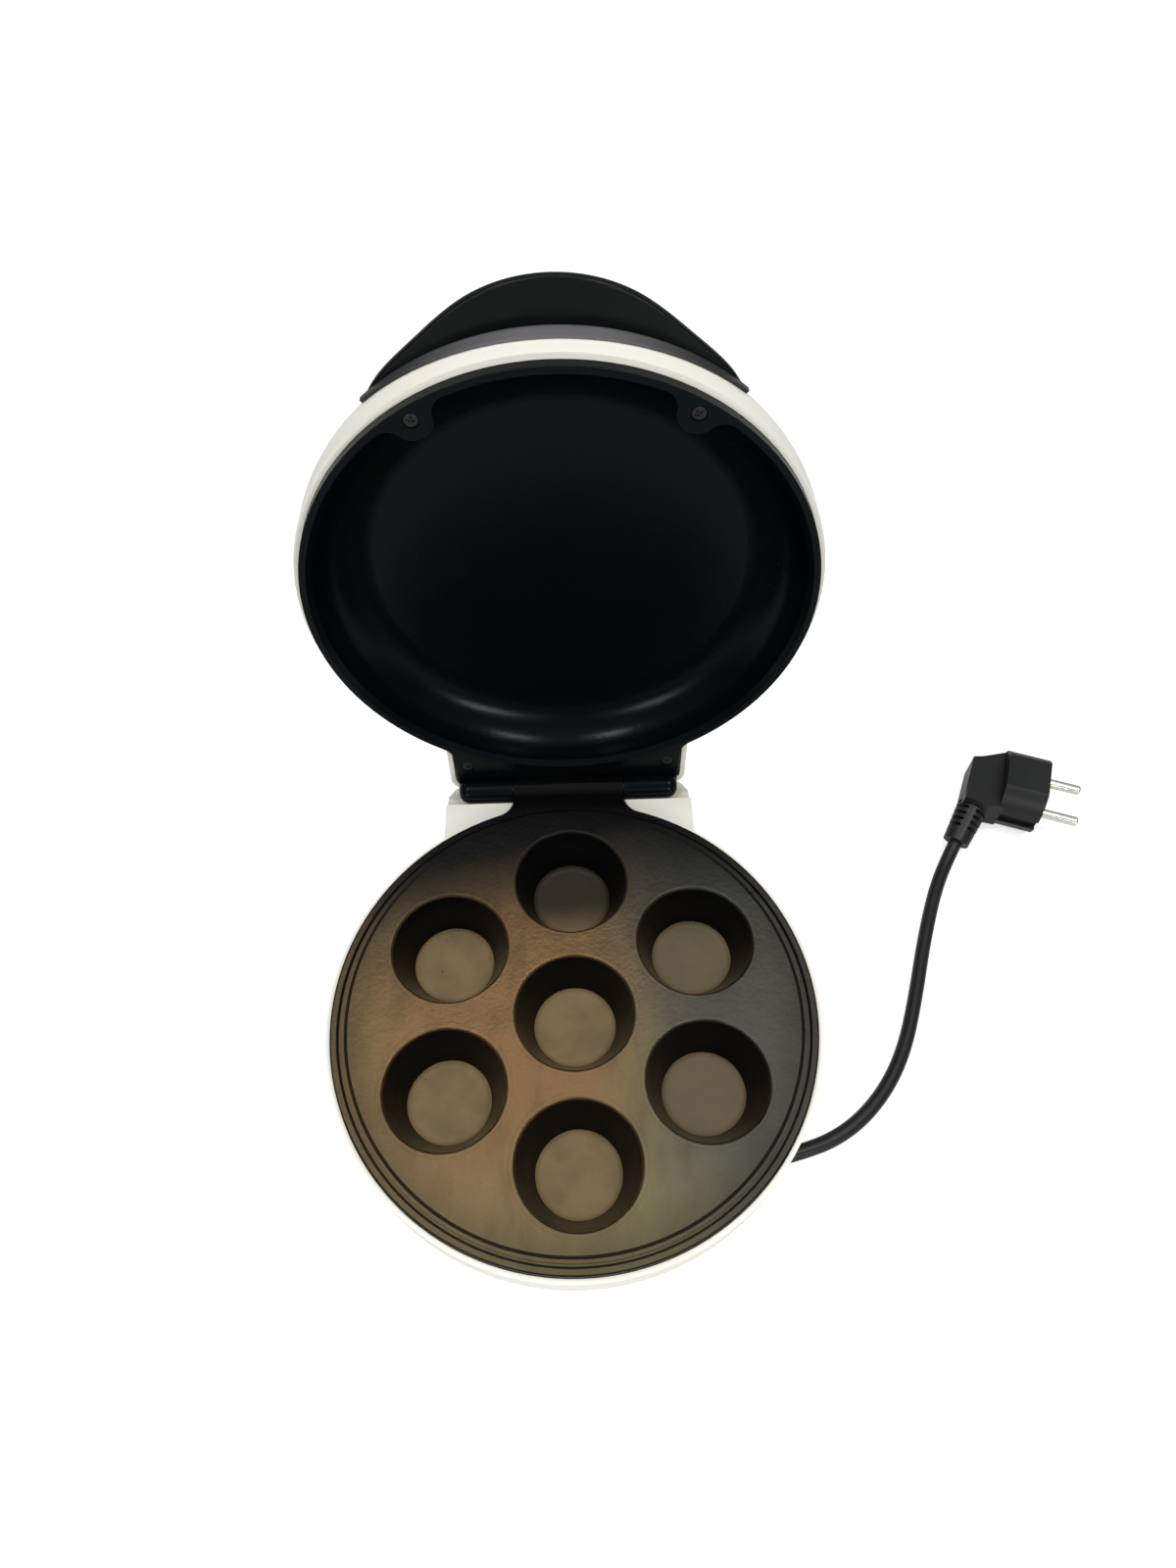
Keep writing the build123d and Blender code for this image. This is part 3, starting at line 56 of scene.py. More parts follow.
MM = 0.001
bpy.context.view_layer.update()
NODES: dict[str, bpy.types.Object] = frame["nodes"]
BASE_Y = -34.83107  # the plate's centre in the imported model's frame, in millimetres
LID_UP: Point = (0.0, 0.99470, -0.10279)  # from the open lid's rim to its dome's top
COLOUR_SOCKETS = ("Base Color", "Specular Tint")
SPECK_CORE = 0.6  # share of a speck's radius before it starts to fade


class Operation(Enum):
    """Math node operations that the finishes use."""

    ADD = "ADD"
    SUBTRACT = "SUBTRACT"
    MULTIPLY = "MULTIPLY"
    POWER = "POWER"
    LESS = "LESS_THAN"
    GREATER = "GREATER_THAN"
    ABSOLUTE = "ABSOLUTE"
    MAXIMUM = "MAXIMUM"


class Body(Enum):
    """The two bodies that the hinge joins."""

    BASE = "base"
    LID = "lid"


class Wire:
    """An output socket that takes part in Python expressions."""

    def __init__(self, graph: "Graph", socket: bpy.types.NodeSocket) -> None:
        """Wraps a socket.

        Args:
            graph: The material's node graph.
            socket: The output socket to wrap.
        """
        self.graph = graph
        self.socket = socket

    def _math(self, operation: Operation, left: Number, right: Number) -> "Wire":
        """Adds one Math node.

        Args:
            operation: What the node does.
            left: Its first value.
            right: Its second value.

        Returns:
            The node's value.
        """
        return self.graph.node(
            "ShaderNodeMath", {"operation": operation.value}, {0: left, 1: right}
        )

    def __add__(self, other: Number) -> "Wire":
        """self + other."""
        return self._math(Operation.ADD, self, other)

    def __radd__(self, other: Number) -> "Wire":
        """other + self."""
        return self._math(Operation.ADD, other, self)

    def __sub__(self, other: Number) -> "Wire":
        """self - other."""
        return self._math(Operation.SUBTRACT, self, other)

    def __rsub__(self, other: Number) -> "Wire":
        """other - self."""
        return self._math(Operation.SUBTRACT, other, self)

    def __mul__(self, other: Number) -> "Wire":
        """self * other."""
        return self._math(Operation.MULTIPLY, self, other)

    def __rmul__(self, other: Number) -> "Wire":
        """other * self."""
        return self._math(Operation.MULTIPLY, other, self)

    def __pow__(self, other: Number) -> "Wire":
        """self ** other."""
        return self._math(Operation.POWER, self, other)

    def __lt__(self, other: Number) -> "Wire":
        """1 where self is less than other, else 0."""
        return self._math(Operation.LESS, self, other)

    def __gt__(self, other: Number) -> "Wire":
        """1 where self is greater than other, else 0."""
        return self._math(Operation.GREATER, self, other)

    def __abs__(self) -> "Wire":
        """The size of self without its sign."""
        return self._math(Operation.ABSOLUTE, self, 0.0)

    def more(self, other: Number) -> "Wire":
        """The larger of self and other."""
        return self._math(Operation.MAXIMUM, self, other)

    def step(self, low: float, high: float) -> "Wire":
        """A smooth step of self.

        Args:
            low: Where the step starts, at 0.
            high: Where the step ends, at 1.

        Returns:
            The stepped value, from 0 to 1.
        """
        return self.graph.node(
            "ShaderNodeMapRange",
            {"interpolation_type": "SMOOTHSTEP"},
            {0: self, 1: low, 2: high},
        )


class Graph:
    """The node graph of one material, with short ways to add nodes."""

    def __init__(self, name: str, sky: bool = False) -> None:
        """Starts a material or a world with nothing but its output.

        Args:
            name: Its name.
            sky: True for the world around the object.
        """
        self.owner = (bpy.data.worlds if sky else bpy.data.materials).new(name)
        self.owner.use_nodes = True
        self.tree = self.owner.node_tree
        self.tree.nodes.clear()
        kind = "ShaderNodeOutputWorld" if sky else "ShaderNodeOutputMaterial"
        self.output = self.tree.nodes.new(kind)

    def node(
        self,
        kind: str,
        settings: dict[str, Any] | None = None,
        inputs: dict[Any, Any] | None = None,
        out: Any = 0,
    ) -> Wire:
        """Adds a node.

        Args:
            kind: The node's type.
            settings: Its own settings, set before its sockets. "stops" fills a
                colour ramp with (place, value) pairs.
            inputs: Values or wires by socket name or number.
            out: Name or number of the output to return.

        Returns:
            The chosen output.
        """
        made = self.tree.nodes.new(kind)
        for key, value in (settings or {}).items():
            if key == "stops":
                self._fill_ramp(made.color_ramp, value)
            else:
                setattr(made, key, value)
        for key, value in (inputs or {}).items():
            if isinstance(value, Wire):
                self.tree.links.new(value.socket, made.inputs[key])
            else:
                made.inputs[key].default_value = value
        return Wire(self, made.outputs[out])

    @staticmethod
    def _fill_ramp(ramp: bpy.types.ColorRamp, stops: Sequence[Any]) -> None:
        """Fills a colour ramp.

        Args:
            ramp: The ramp.
            stops: Pairs of a place and a grey value.
        """
        while len(ramp.elements) < len(stops):
            ramp.elements.new(0.5)
        for element, (place, value) in zip(ramp.elements, stops):
            element.position = place
            element.color = (value, value, value, 1)

    def place(self) -> Wire:
        """The point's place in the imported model's frame, in metres."""
        return self.node("ShaderNodeTexCoord", out="Object")

    def part(self, vector: Wire, axis: int) -> Wire:
        """One coordinate of a vector.

        Args:
            vector: The vector.
            axis: 0, 1 or 2 for X, Y or Z.

        Returns:
            The coordinate.
        """
        return self.node("ShaderNodeSeparateXYZ", {}, {0: vector}, out=axis)

    def away(self, centre: Point) -> Wire:
        """Distance from a point of the model's frame.

        Args:
            centre: The point.

        Returns:
            The distance in metres.
        """
        return self.node(
            "ShaderNodeVectorMath",
            {"operation": "DISTANCE"},
            {0: self.place(), 1: centre},
            out="Value",
        )

    def along(self, way: Point) -> Wire:
        """How far the point lies along a direction.

        Args:
            way: The direction, as a unit vector.

        Returns:
            The distance from the frame's origin in metres.
        """
        return self.node(
            "ShaderNodeVectorMath",
            {"operation": "DOT_PRODUCT"},
            {0: self.place(), 1: way},
            out="Value",
        )

    def stretched(self, scale: Point) -> Wire:
        """The place, scaled by a different amount along each axis."""
        return self.node(
            "ShaderNodeVectorMath", {"operation": "MULTIPLY"}, {0: self.place(), 1: scale}
        )

    def noise(
        self, grain: float, detail: float = 3.0, rough: float = 0.55, at: Wire | None = None
    ) -> Wire:
        """Soft noise.

        Args:
            grain: Size of the pattern in metres.
            detail: Number of finer layers.
            rough: Share of each finer layer.
            at: Other coordinates than the place.

        Returns:
            The noise, near 0.5.
        """
        return self.node(
            "ShaderNodeTexNoise",
            {},
            {
                "Vector": at or self.place(),
                "Scale": 1 / grain,
                "Detail": detail,
                "Roughness": rough,
            },
        )

    def specks(self, grain: float, size: float) -> Wire:
        """Small round spots, one in each cell.

        Args:
            grain: Distance between spots in metres.
            size: Radius of a spot as a share of that distance.

        Returns:
            1 inside a spot, fading to 0 at its edge.
        """
        cell = self.node(
            "ShaderNodeTexVoronoi", {}, {"Vector": self.place(), "Scale": 1 / grain}
        )
        return 1 - cell.step(size * SPECK_CORE, size)

    def mix(self, share: Number, first: Any, second: Any) -> Wire:
        """Mixes two colours.

        Args:
            share: 0 for the first, 1 for the second.
            first: A colour or a wire.
            second: A colour or a wire.

        Returns:
            The mixed colour.
        """
        return self.node(
            "ShaderNodeMix",
            {"data_type": "RGBA"},
            {0: share, 6: rgba(first), 7: rgba(second)},
            out=2,
        )

    def bump(
        self, height: Wire, depth: float, strength: float = 1.0, over: Wire | None = None
    ) -> Wire:
        """A bumped normal.

        Args:
            height: The relief, from 0 to 1.
            depth: Depth of the relief in metres.
            strength: Share of the relief that shows.
            over: A normal to start from.

        Returns:
            The normal.
        """
        inputs: dict[Any, Any] = {"Height": height, "Distance": depth, "Strength": strength}
        if over is not None:
            inputs["Normal"] = over
        return self.node("ShaderNodeBump", {}, inputs)

    def finish(self, sockets: dict[str, Any]) -> bpy.types.Material:
        """Closes the graph with a Principled shader.

        Args:
            sockets: Values or wires by socket name.

        Returns:
            The finished material.
        """
        coated = {
            name: rgba(value) if name in COLOUR_SOCKETS else value
            for name, value in sockets.items()
        }
        return self.close(self.node("ShaderNodeBsdfPrincipled", {}, coated))

    def close(self, shader: Wire) -> Any:
        """Links the last shader to the output.

        Args:
            shader: The shader.

        Returns:
            The finished material or world.
        """
        self.tree.links.new(shader.socket, self.output.inputs[0])
        return self.owner


def rgba(colour: Any) -> Any:
    """A colour with its alpha; a wire passes unchanged."""
    return colour if isinstance(colour, Wire) else (*colour, 1.0)


@dataclass(frozen=True)
class CreamShell:
    """Glossy cream plastic, a little yellowed and scuffed.

    Short of `rim`, measured along `way`, it turns to a grey tone, a painted shade on the rim's
    face.
    """

    name: str = "cream_shell"
    colour: Colour = (0.83, 0.82, 0.735)
    aged: Colour = (0.80, 0.72, 0.50)
    dirt: Colour = (0.36, 0.33, 0.27)
    # grey of the painted shade on the rim's face
    rim_shade: Colour = (0.36, 0.37, 0.32)
    way: Point = (0.0, 0.0, 1.0)
    rim: float = -1.0
    rim_fade: float = 0.0006
    rough: float = 0.32

    def material(self) -> bpy.types.Material:
        """Makes the finish.

        Returns:
            The material.
        """
        g = Graph(self.name)
        cloud = g.noise(0.055, 3.0, 0.6)
        patch = cloud.step(0.50, 0.78) * 0.42
        grime = g.noise(0.004, 4.0, 0.7).step(0.66, 0.82) * g.noise(0.03, 2.0).step(0.52, 0.66)
        tone = g.mix(patch, self.colour, self.aged)
        tone = g.mix(grime * 0.45, tone, self.dirt)
        height = g.along(self.way) + self.rim_fade * cloud
        # below `rim` the cream turns grey: a painted shade on the rim's face
        rim = 1 - height.step(self.rim, self.rim + self.rim_fade)
        tone = g.mix(rim * 0.85, tone, self.rim_shade)
        scuff = g.noise(0.0011, 2.0, 0.6, g.stretched((0.3, 1.0, 1.0))).step(0.60, 0.80)
        rough = self.rough + 0.10 * cloud + 0.12 * scuff
        ripple = g.noise(0.0022, 2.0, 0.5)
        return g.finish(
            {
                "Base Color": tone,
                "Roughness": rough,
                "Specular IOR Level": 0.5,
                "Coat Weight": 0.08,
                "Coat Roughness": 0.12,
                "Normal": g.bump(ripple, 0.00003, 0.5),
            }
        )


@dataclass(frozen=True)
class NonStickPlate:
    """Non-stick coating with a painted warm bronze reflection, orange peel and baked residue."""

    name: str = "nonstick_plate"
    black: Colour = (0.0018, 0.0019, 0.0020)
    # bronze, grey, olive and dim_edge are a painted reflection of the lamps on the coating
    bronze: Colour = (0.150, 0.088, 0.041)
    grey: Colour = (0.056, 0.056, 0.046)
    olive: Colour = (0.112, 0.102, 0.054)
    dim_edge: Colour = (0.016, 0.014, 0.010)
    streaked: Colour = (0.035, 0.028, 0.020)
    crumb: Colour = (0.205, 0.146, 0.068)
    stained: Colour = (0.060, 0.048, 0.031)
    right_crumb: Colour = (0.105, 0.086, 0.050)
    # painted shade of the back cup's floor under the open lid
    lid_shaded_floor: Colour = (0.008, 0.008, 0.007)
    fleck: Colour = (0.012, 0.010, 0.008)
    crusted: Colour = (0.20, 0.18, 0.15)
    crust_at: Point = (0.020, 0.000, 0.047)
    centre_y: float = -0.0348
    floor_z: float = 0.0362
    lip_z: float = 0.0536
    tab_y: tuple[float, float] = (0.058, 0.066)
    rim_lines: Sequence[tuple[float, float]] = ((0.0911, 0.0924), (0.0945, 0.0955))
    rim_r: float = 0.0974

    def _deck(self, g: Graph, x: Wire, y: Wire, drift: Wire, painted_sheen: Wire) -> Wire:
        """Colour of the flat face, black at the back and with a painted reflection in front.

        Args:
            g: The graph.
            x: Place across, in metres.
            y: Place back, in metres.
            drift: Slow noise over the plate.
            painted_sheen: 1 where the sheen shows, else 0.

        Returns:
            The colour.
        """
        far = y - self.centre_y
        out = (x * x + far * far) ** 0.5
        # painted reflection: bronze round the middle's left, grey to the right and back, else olive
        right = (x + 0.35 * far + 0.030 * drift).step(0.005, 0.070)
        sheen = g.mix(right, self.olive, self.grey)
        left = x + 0.030
        glow = 1 - (left * left + 0.8 * far * far) ** 0.5 * 11
        warm = (glow + 0.40 * (drift - 0.5)).step(-0.35, 0.75)
        warm = warm * (1 - (x + 0.02 * drift).step(0.010, 0.060))
        sheen = g.mix(warm, sheen, self.bronze)
        # the painted reflection dims towards the plate's edge
        edge = (out + 0.006 * drift).step(0.078, 0.100)
        sheen = g.mix(edge * 0.45, sheen, self.dim_edge)
        streak = g.noise(0.011, 4.0, 0.6, g.stretched((1.0, 0.35, 1.0))).step(0.40, 0.72)
        sheen = g.mix(streak * 0.30, sheen, self.streaked)
        # the painted reflection shows in front and gives way to the coating's black at the back
        deck = g.mix(painted_sheen * 0.94, self.black, sheen)
        lines = out > self.rim_r
        for inner, outer in self.rim_lines:
            lines = lines.more((out > inner) * (out < outer))
        return g.mix(lines * 0.90, deck, self.black)

    def _floor(self, g: Graph, x: Wire, y: Wire, drift: Wire) -> Wire:
        """Colour of the cups' floors, baked brown, with a painted shade at the back under the open
        lid.

        Args:
            g: The graph.
            x: Place across, in metres.
            y: Place back, in metres.
            drift: Slow noise over the plate.

        Returns:
            The colour.
        """
        stain = g.noise(0.012, 3.0, 0.6).step(0.30, 0.75)
        tone = g.mix(stain * 0.35, self.crumb, self.stained)
        tone = g.mix((x + 0.02 * drift).step(0.012, 0.050) * 0.7, tone, self.right_crumb)
        # painted shade: the floors turn near black towards the back, under the open lid
        tone = g.mix(y.step(0.002, 0.024) * 0.90, tone, self.lid_shaded_floor)
        flecks = g.specks(0.0052, 0.10) * g.noise(0.012, 2.0).step(0.54, 0.64)
        return g.mix(flecks * 0.85, tone, self.fleck)

    def material(self) -> bpy.types.Material:
        """Makes the finish.

        Returns:
            The material.
        """
        g = Graph(self.name)
        place = g.place()
        x, y, z = (g.part(place, i) for i in range(3))
        drift = g.noise(0.07, 3.0, 0.55)
        # where the painted reflection shows: towards the front, fading to the coating's black at
        # the back
        painted_sheen = (0.030 * drift - y + 0.10 * (x + 0.05)).step(-0.030, 0.022)
        in_floor = z < self.floor_z
        wall = (z < self.lip_z) * (1 - in_floor)
        tab = y.step(*self.tab_y)
        bare = (1 - wall) * (1 - in_floor) * (1 - tab)
        tone = g.mix(wall.more(tab), self._deck(g, x, y, drift, painted_sheen), self.black)
        tone = g.mix(in_floor, tone, self._floor(g, x, y, drift))
        crust = g.noise(0.0030, 4.0, 0.75).step(0.62, 0.72)
        near = 1 - g.away(self.crust_at).step(0.004, 0.013)
        tone = g.mix(crust * near * wall * 0.6, tone, self.crusted)
        scratch = g.noise(0.0009, 2.0, 0.5, g.stretched((0.12, 1.0, 1.0))).step(0.64, 0.74)
        scratch = scratch * g.noise(0.02, 2.0).step(0.45, 0.6) * (1 - wall)
        peel = g.noise(0.0017, 2.0, 0.55)
        dents = g.noise(0.013, 2.0, 0.5)
        rough = 0.15 + 0.20 * bare + 0.10 * drift * bare + 0.36 * in_floor + 0.08 * scratch
        relief = g.bump(dents, 0.0010, 0.30)
        relief = g.bump(peel, 0.00020, 0.60, relief)
        return g.finish(
            {
                "Base Color": tone,
                "Roughness": rough,
                "Metallic": 0.88 * bare * painted_sheen,
                "Specular IOR Level": 0.14,
                "Normal": relief,
            }
        )


@dataclass(frozen=True)
class DishEnamel:
    """Smooth black coating of the lid's dish, with a bluish sheen."""

    name: str = "dish_enamel"
    colour: Colour = (0.0012, 0.0018, 0.0024)
    dusty: Colour = (0.16, 0.16, 0.15)
    rough: float = 0.21

    def material(self) -> bpy.types.Material:
        """Makes the finish.

        Returns:
            The material.
        """
        g = Graph(self.name)
        drift = g.noise(0.06, 2.0, 0.5)
        dust = g.specks(0.009, 0.035) * g.noise(0.03, 2.0).step(0.55, 0.65)
        smear = g.noise(0.025, 4.0, 0.65).step(0.45, 0.75)
        tone = g.mix(dust * 0.35, self.colour, self.dusty)
        peel = g.noise(0.0018, 2.0, 0.5)
        return g.finish(
            {
                "Base Color": tone,
                "Roughness": self.rough + 0.05 * drift + 0.05 * smear,
                "Specular IOR Level": 0.085,
                "Specular Tint": (0.80, 0.95, 1.0),
                "Normal": g.bump(peel, 0.00010, 0.4),
            }
        )


@dataclass(frozen=True)
class MouldedPlastic:
    """Moulded plastic or rubber in one colour, with a fine grain."""

    name: str
    colour: Colour
    rough: float = 0.35
    grain: float = 0.0006
    depth: float = 0.00002
    shine: float = 0.5
    dusty: float = 0.06
    dust: Colour = (0.35, 0.34, 0.32)

    def material(self) -> bpy.types.Material:
        """Makes the finish.

        Returns:
            The material.
        """
        g = Graph(self.name)
        drift = g.noise(0.02, 3.0, 0.6)
        lighter = tuple(min(1.0, c * 1.5 + 0.004) for c in self.colour)
        tone = g.mix(drift.step(0.35, 0.75) * 0.5, self.colour, lighter)
        dust = g.noise(0.003, 4.0, 0.7).step(0.6, 0.8)
        return g.finish(
            {
                "Base Color": g.mix(dust * self.dusty, tone, self.dust),
                "Roughness": self.rough + 0.12 * drift + 0.10 * dust,
                "Specular IOR Level": self.shine,
                "Normal": g.bump(g.noise(self.grain, 2.0), self.depth, 0.6),
            }
        )


@dataclass(frozen=True)
class HandleGloss:
    """Flat black underside of the handle with a paler root band, a painted reflection."""

    name: str = "gloss_black"
    colour: Colour = (0.0016, 0.0026, 0.0028)
    # paler tone of the painted reflection on the root band
    root_reflection: Colour = (0.150, 0.146, 0.152)
    scratched: Colour = (0.25, 0.25, 0.24)
    lip_at: float = 0.0889
    lip_fade: float = 0.0008

    def material(self) -> bpy.types.Material:
        """Makes the finish.

        Returns:
            The material.
        """
        g = Graph(self.name)
        drift = g.noise(0.03, 3.0, 0.6)
        band = 1 - g.along(LID_UP).step(self.lip_at - self.lip_fade, self.lip_at)
        scratch = g.noise(0.0010, 2.0, 0.6, g.stretched((0.10, 1.0, 1.0))).step(0.62, 0.76)
        middle = 1 - abs(g.part(g.place(), 0)).step(0.012, 0.056)
        # painted reflection: the root band is paler, most in the middle
        share = band * (0.25 + 0.75 * middle) * (0.6 + 0.4 * drift)
        tone = g.mix(share, self.colour, self.root_reflection)
        return g.finish(
            {
                "Base Color": g.mix(scratch * band * 0.15, tone, self.scratched),
                "Roughness": 0.24 - 0.10 * band + 0.10 * drift,
                "Specular IOR Level": 0.14,
                "Normal": g.bump(g.noise(0.0012, 2.0), 0.00001, 0.6),
            }
        )


@dataclass(frozen=True)
class SheetMetal:
    """Bare metal with a drawn grain and a little tarnish."""

    name: str
    colour: Colour
    tarnish: Colour = (0.18, 0.15, 0.12)
    rough: float = 0.28
    drawn: Point = (1.0, 1.0, 0.08)
    tarnished: float = 0.3
    relief: float = 0.00003

    def material(self) -> bpy.types.Material:
        """Makes the finish.

        Returns:
            The material.
        """
        g = Graph(self.name)
        grain = g.noise(0.0007, 3.0, 0.6, g.stretched(self.drawn))
        bloom = g.noise(0.012, 4.0, 0.65).step(0.45, 0.75)
        return g.finish(
            {
                "Base Color": g.mix(bloom * self.tarnished, self.colour, self.tarnish),
                "Metallic": 1.0,
                "Roughness": self.rough + 0.14 * grain + 0.18 * bloom,
                "Normal": g.bump(grain, self.relief, 0.5),
            }
        )


@dataclass(frozen=True)
class LampLens:
    """Clear coloured plastic of a signal lamp."""

    name: str
    colour: Colour

    def material(self) -> bpy.types.Material:
        """Makes the finish.

        Returns:
            The material.
        """
        g = Graph(self.name)
        facets = g.noise(0.0011, 1.0)
        deep = tuple(c * 0.45 for c in self.colour)
        return g.finish(
            {
                "Base Color": g.mix(facets.step(0.4, 0.6), self.colour, deep),
                "Roughness": 0.08 + 0.06 * facets,
                "Coat Weight": 0.6,
                "Coat Roughness": 0.05,
                "Normal": g.bump(facets, 0.00012, 0.5),
            }
        )


@dataclass(frozen=True)
class StudioFloor:
    """Pale floor that the camera sees as white, with the object's shadow."""

    name: str = "studio_floor"
    colour: Colour = (0.62, 0.62, 0.62)
    patch: Colour = (0.64, 0.64, 0.64)
    lift: float = 0.62
    gleam: float = 0.10

    def material(self) -> bpy.types.Material:
        """Makes the finish.

        Returns:
            The material.
        """
        g = Graph(self.name)
        seen = g.node("ShaderNodeLightPath", out="Is Camera Ray")
        mirrored = g.node("ShaderNodeLightPath", out="Is Glossy Ray")
        through = g.node("ShaderNodeLightPath", out="Is Transmission Ray")
        shade = g.mix(g.noise(0.3), self.colour, self.patch)
        soft = g.node("ShaderNodeBsdfDiffuse", {}, {0: shade})
        glow = g.node(
            "ShaderNodeEmission", {}, {1: seen * self.lift + (mirrored + through) * self.gleam}
        )
        return g.close(g.node("ShaderNodeAddShader", {}, {0: soft, 1: glow}))


@dataclass
class Studio:
    """Camera at the photograph's viewing angle, soft light and a pale floor."""

    position: Point = (0.0021, -0.18553, 0.4590)
    pitch: float = 32.68
    yaw: float = -1.54
    roll: float = 0.42
    focal_px: float = 1066.2
    image_height: float = 1600.0
    sensor: float = 36.0
    low_sky: float = 0.14
    high_sky: float = 0.64
    floor_reach: float = 4.0
    # each lamp's name, place, target, size in metres and watts
    lamps: Sequence[tuple[str, Point, Point, tuple[float, float], float]] = (
        ("left_window", (-0.36, -0.22, 1.10), (0.0, 0.0, 0.08), (0.16, 0.20), 2.9),
        ("right_window", (0.40, -0.16, 1.05), (0.0, 0.0, 0.05), (0.14, 0.22), 2.7),
        ("roof_window", (-0.02, 0.30, 1.20), (0.0, 0.0, 0.08), (1.00, 0.08), 2.8),
        ("left_tube", (-0.42, -0.90, 0.40), (0.0, 0.10, 0.10), (0.22, 0.12), 2.0),
        ("right_tube", (0.37, -0.90, 0.40), (0.0, 0.10, 0.10), (0.26, 0.12), 2.9),
    )

    def camera(self) -> bpy.types.Object:
        """Makes the camera and sets it as the scene's.

        Returns:
            The camera.
        """
        pitch, yaw, roll = (math.radians(a) for a in (self.pitch, self.yaw, self.roll))
        right = Vector((1, 0, 0))
        forward = Vector((0, math.sin(pitch), -math.cos(pitch)))
        down = forward.cross(right)
        turn = Matrix.Rotation(yaw, 3, "Z")
        right, forward, down = turn @ right, turn @ forward, turn @ down
        across = math.cos(roll) * right + math.sin(roll) * down
        down = -math.sin(roll) * right + math.cos(roll) * down
        data = bpy.data.cameras.new("camera")
        data.sensor_fit = "VERTICAL"
        data.sensor_height = self.sensor
        data.lens = self.focal_px / self.image_height * self.sensor
        data.clip_start = 0.01
        data.dof.use_dof = False
        camera = bpy.data.objects.new("camera", data)
        axes = Matrix((across, -down, -forward)).transposed().to_4x4()
        axes.translation = Vector(self.position)
        camera.matrix_world = axes
        bpy.context.scene.collection.objects.link(camera)
        bpy.context.scene.camera = camera
        return camera

    def world(self) -> None:
        """Makes the surroundings: white to the camera, brighter above to all else."""
        g = Graph("studio", sky=True)
        bpy.context.scene.world = g.owner
        height = g.part(g.node("ShaderNodeTexCoord", out="Generated"), 2)
        plain = self.low_sky + (self.high_sky - self.low_sky) * height.step(0.0, 1.0)
        seen = g.node("ShaderNodeLightPath", out="Is Camera Ray")
        through = g.node("ShaderNodeLightPath", out="Is Transmission Ray")
        share = seen.more(through)
        strength = plain * (1 - share) + share
        g.close(g.node("ShaderNodeBackground", {}, {0: (1, 1, 1, 1), 1: strength}))

    def lamp(
        self, name: str, at: Point, towards: Point, size: tuple[float, float], watts: float
    ) -> bpy.types.Object:
        """Makes one soft box.

        Args:
            name: The lamp's name.
            at: Where it hangs.
            towards: What it faces.
            size: Its width and height.
            watts: Its power.

        Returns:
            The lamp.
        """
        data = bpy.data.lights.new(name, "AREA")
        data.shape = "RECTANGLE"
        data.size, data.size_y = size
        data.energy = watts
        lamp = bpy.data.objects.new(name, data)
        lamp.location = at
        lamp.rotation_euler = (Vector(towards) - Vector(at)).to_track_quat("-Z", "Y").to_euler()
        bpy.context.scene.collection.objects.link(lamp)
        return lamp

    def floor(self) -> bpy.types.Object:
        """Makes the floor.

        Returns:
            The floor.
        """
        mesh = bpy.data.meshes.new("studio_floor")
        r = self.floor_reach
        mesh.from_pydata([(-r, -r, 0), (r, -r, 0), (r, r, 0), (-r, r, 0)], [], [(0, 1, 2, 3)])
        floor = bpy.data.objects.new("studio_floor", mesh)
        bpy.context.scene.collection.objects.link(floor)
        mesh.materials.append(StudioFloor().material())
        return floor

    def build(self) -> None:
        """Sets the view and the light."""
        scene = bpy.context.scene
        scene.view_settings.view_transform = "Standard"
        self.world()
        self.floor()
        for lamp in self.lamps:
            self.lamp(*lamp)


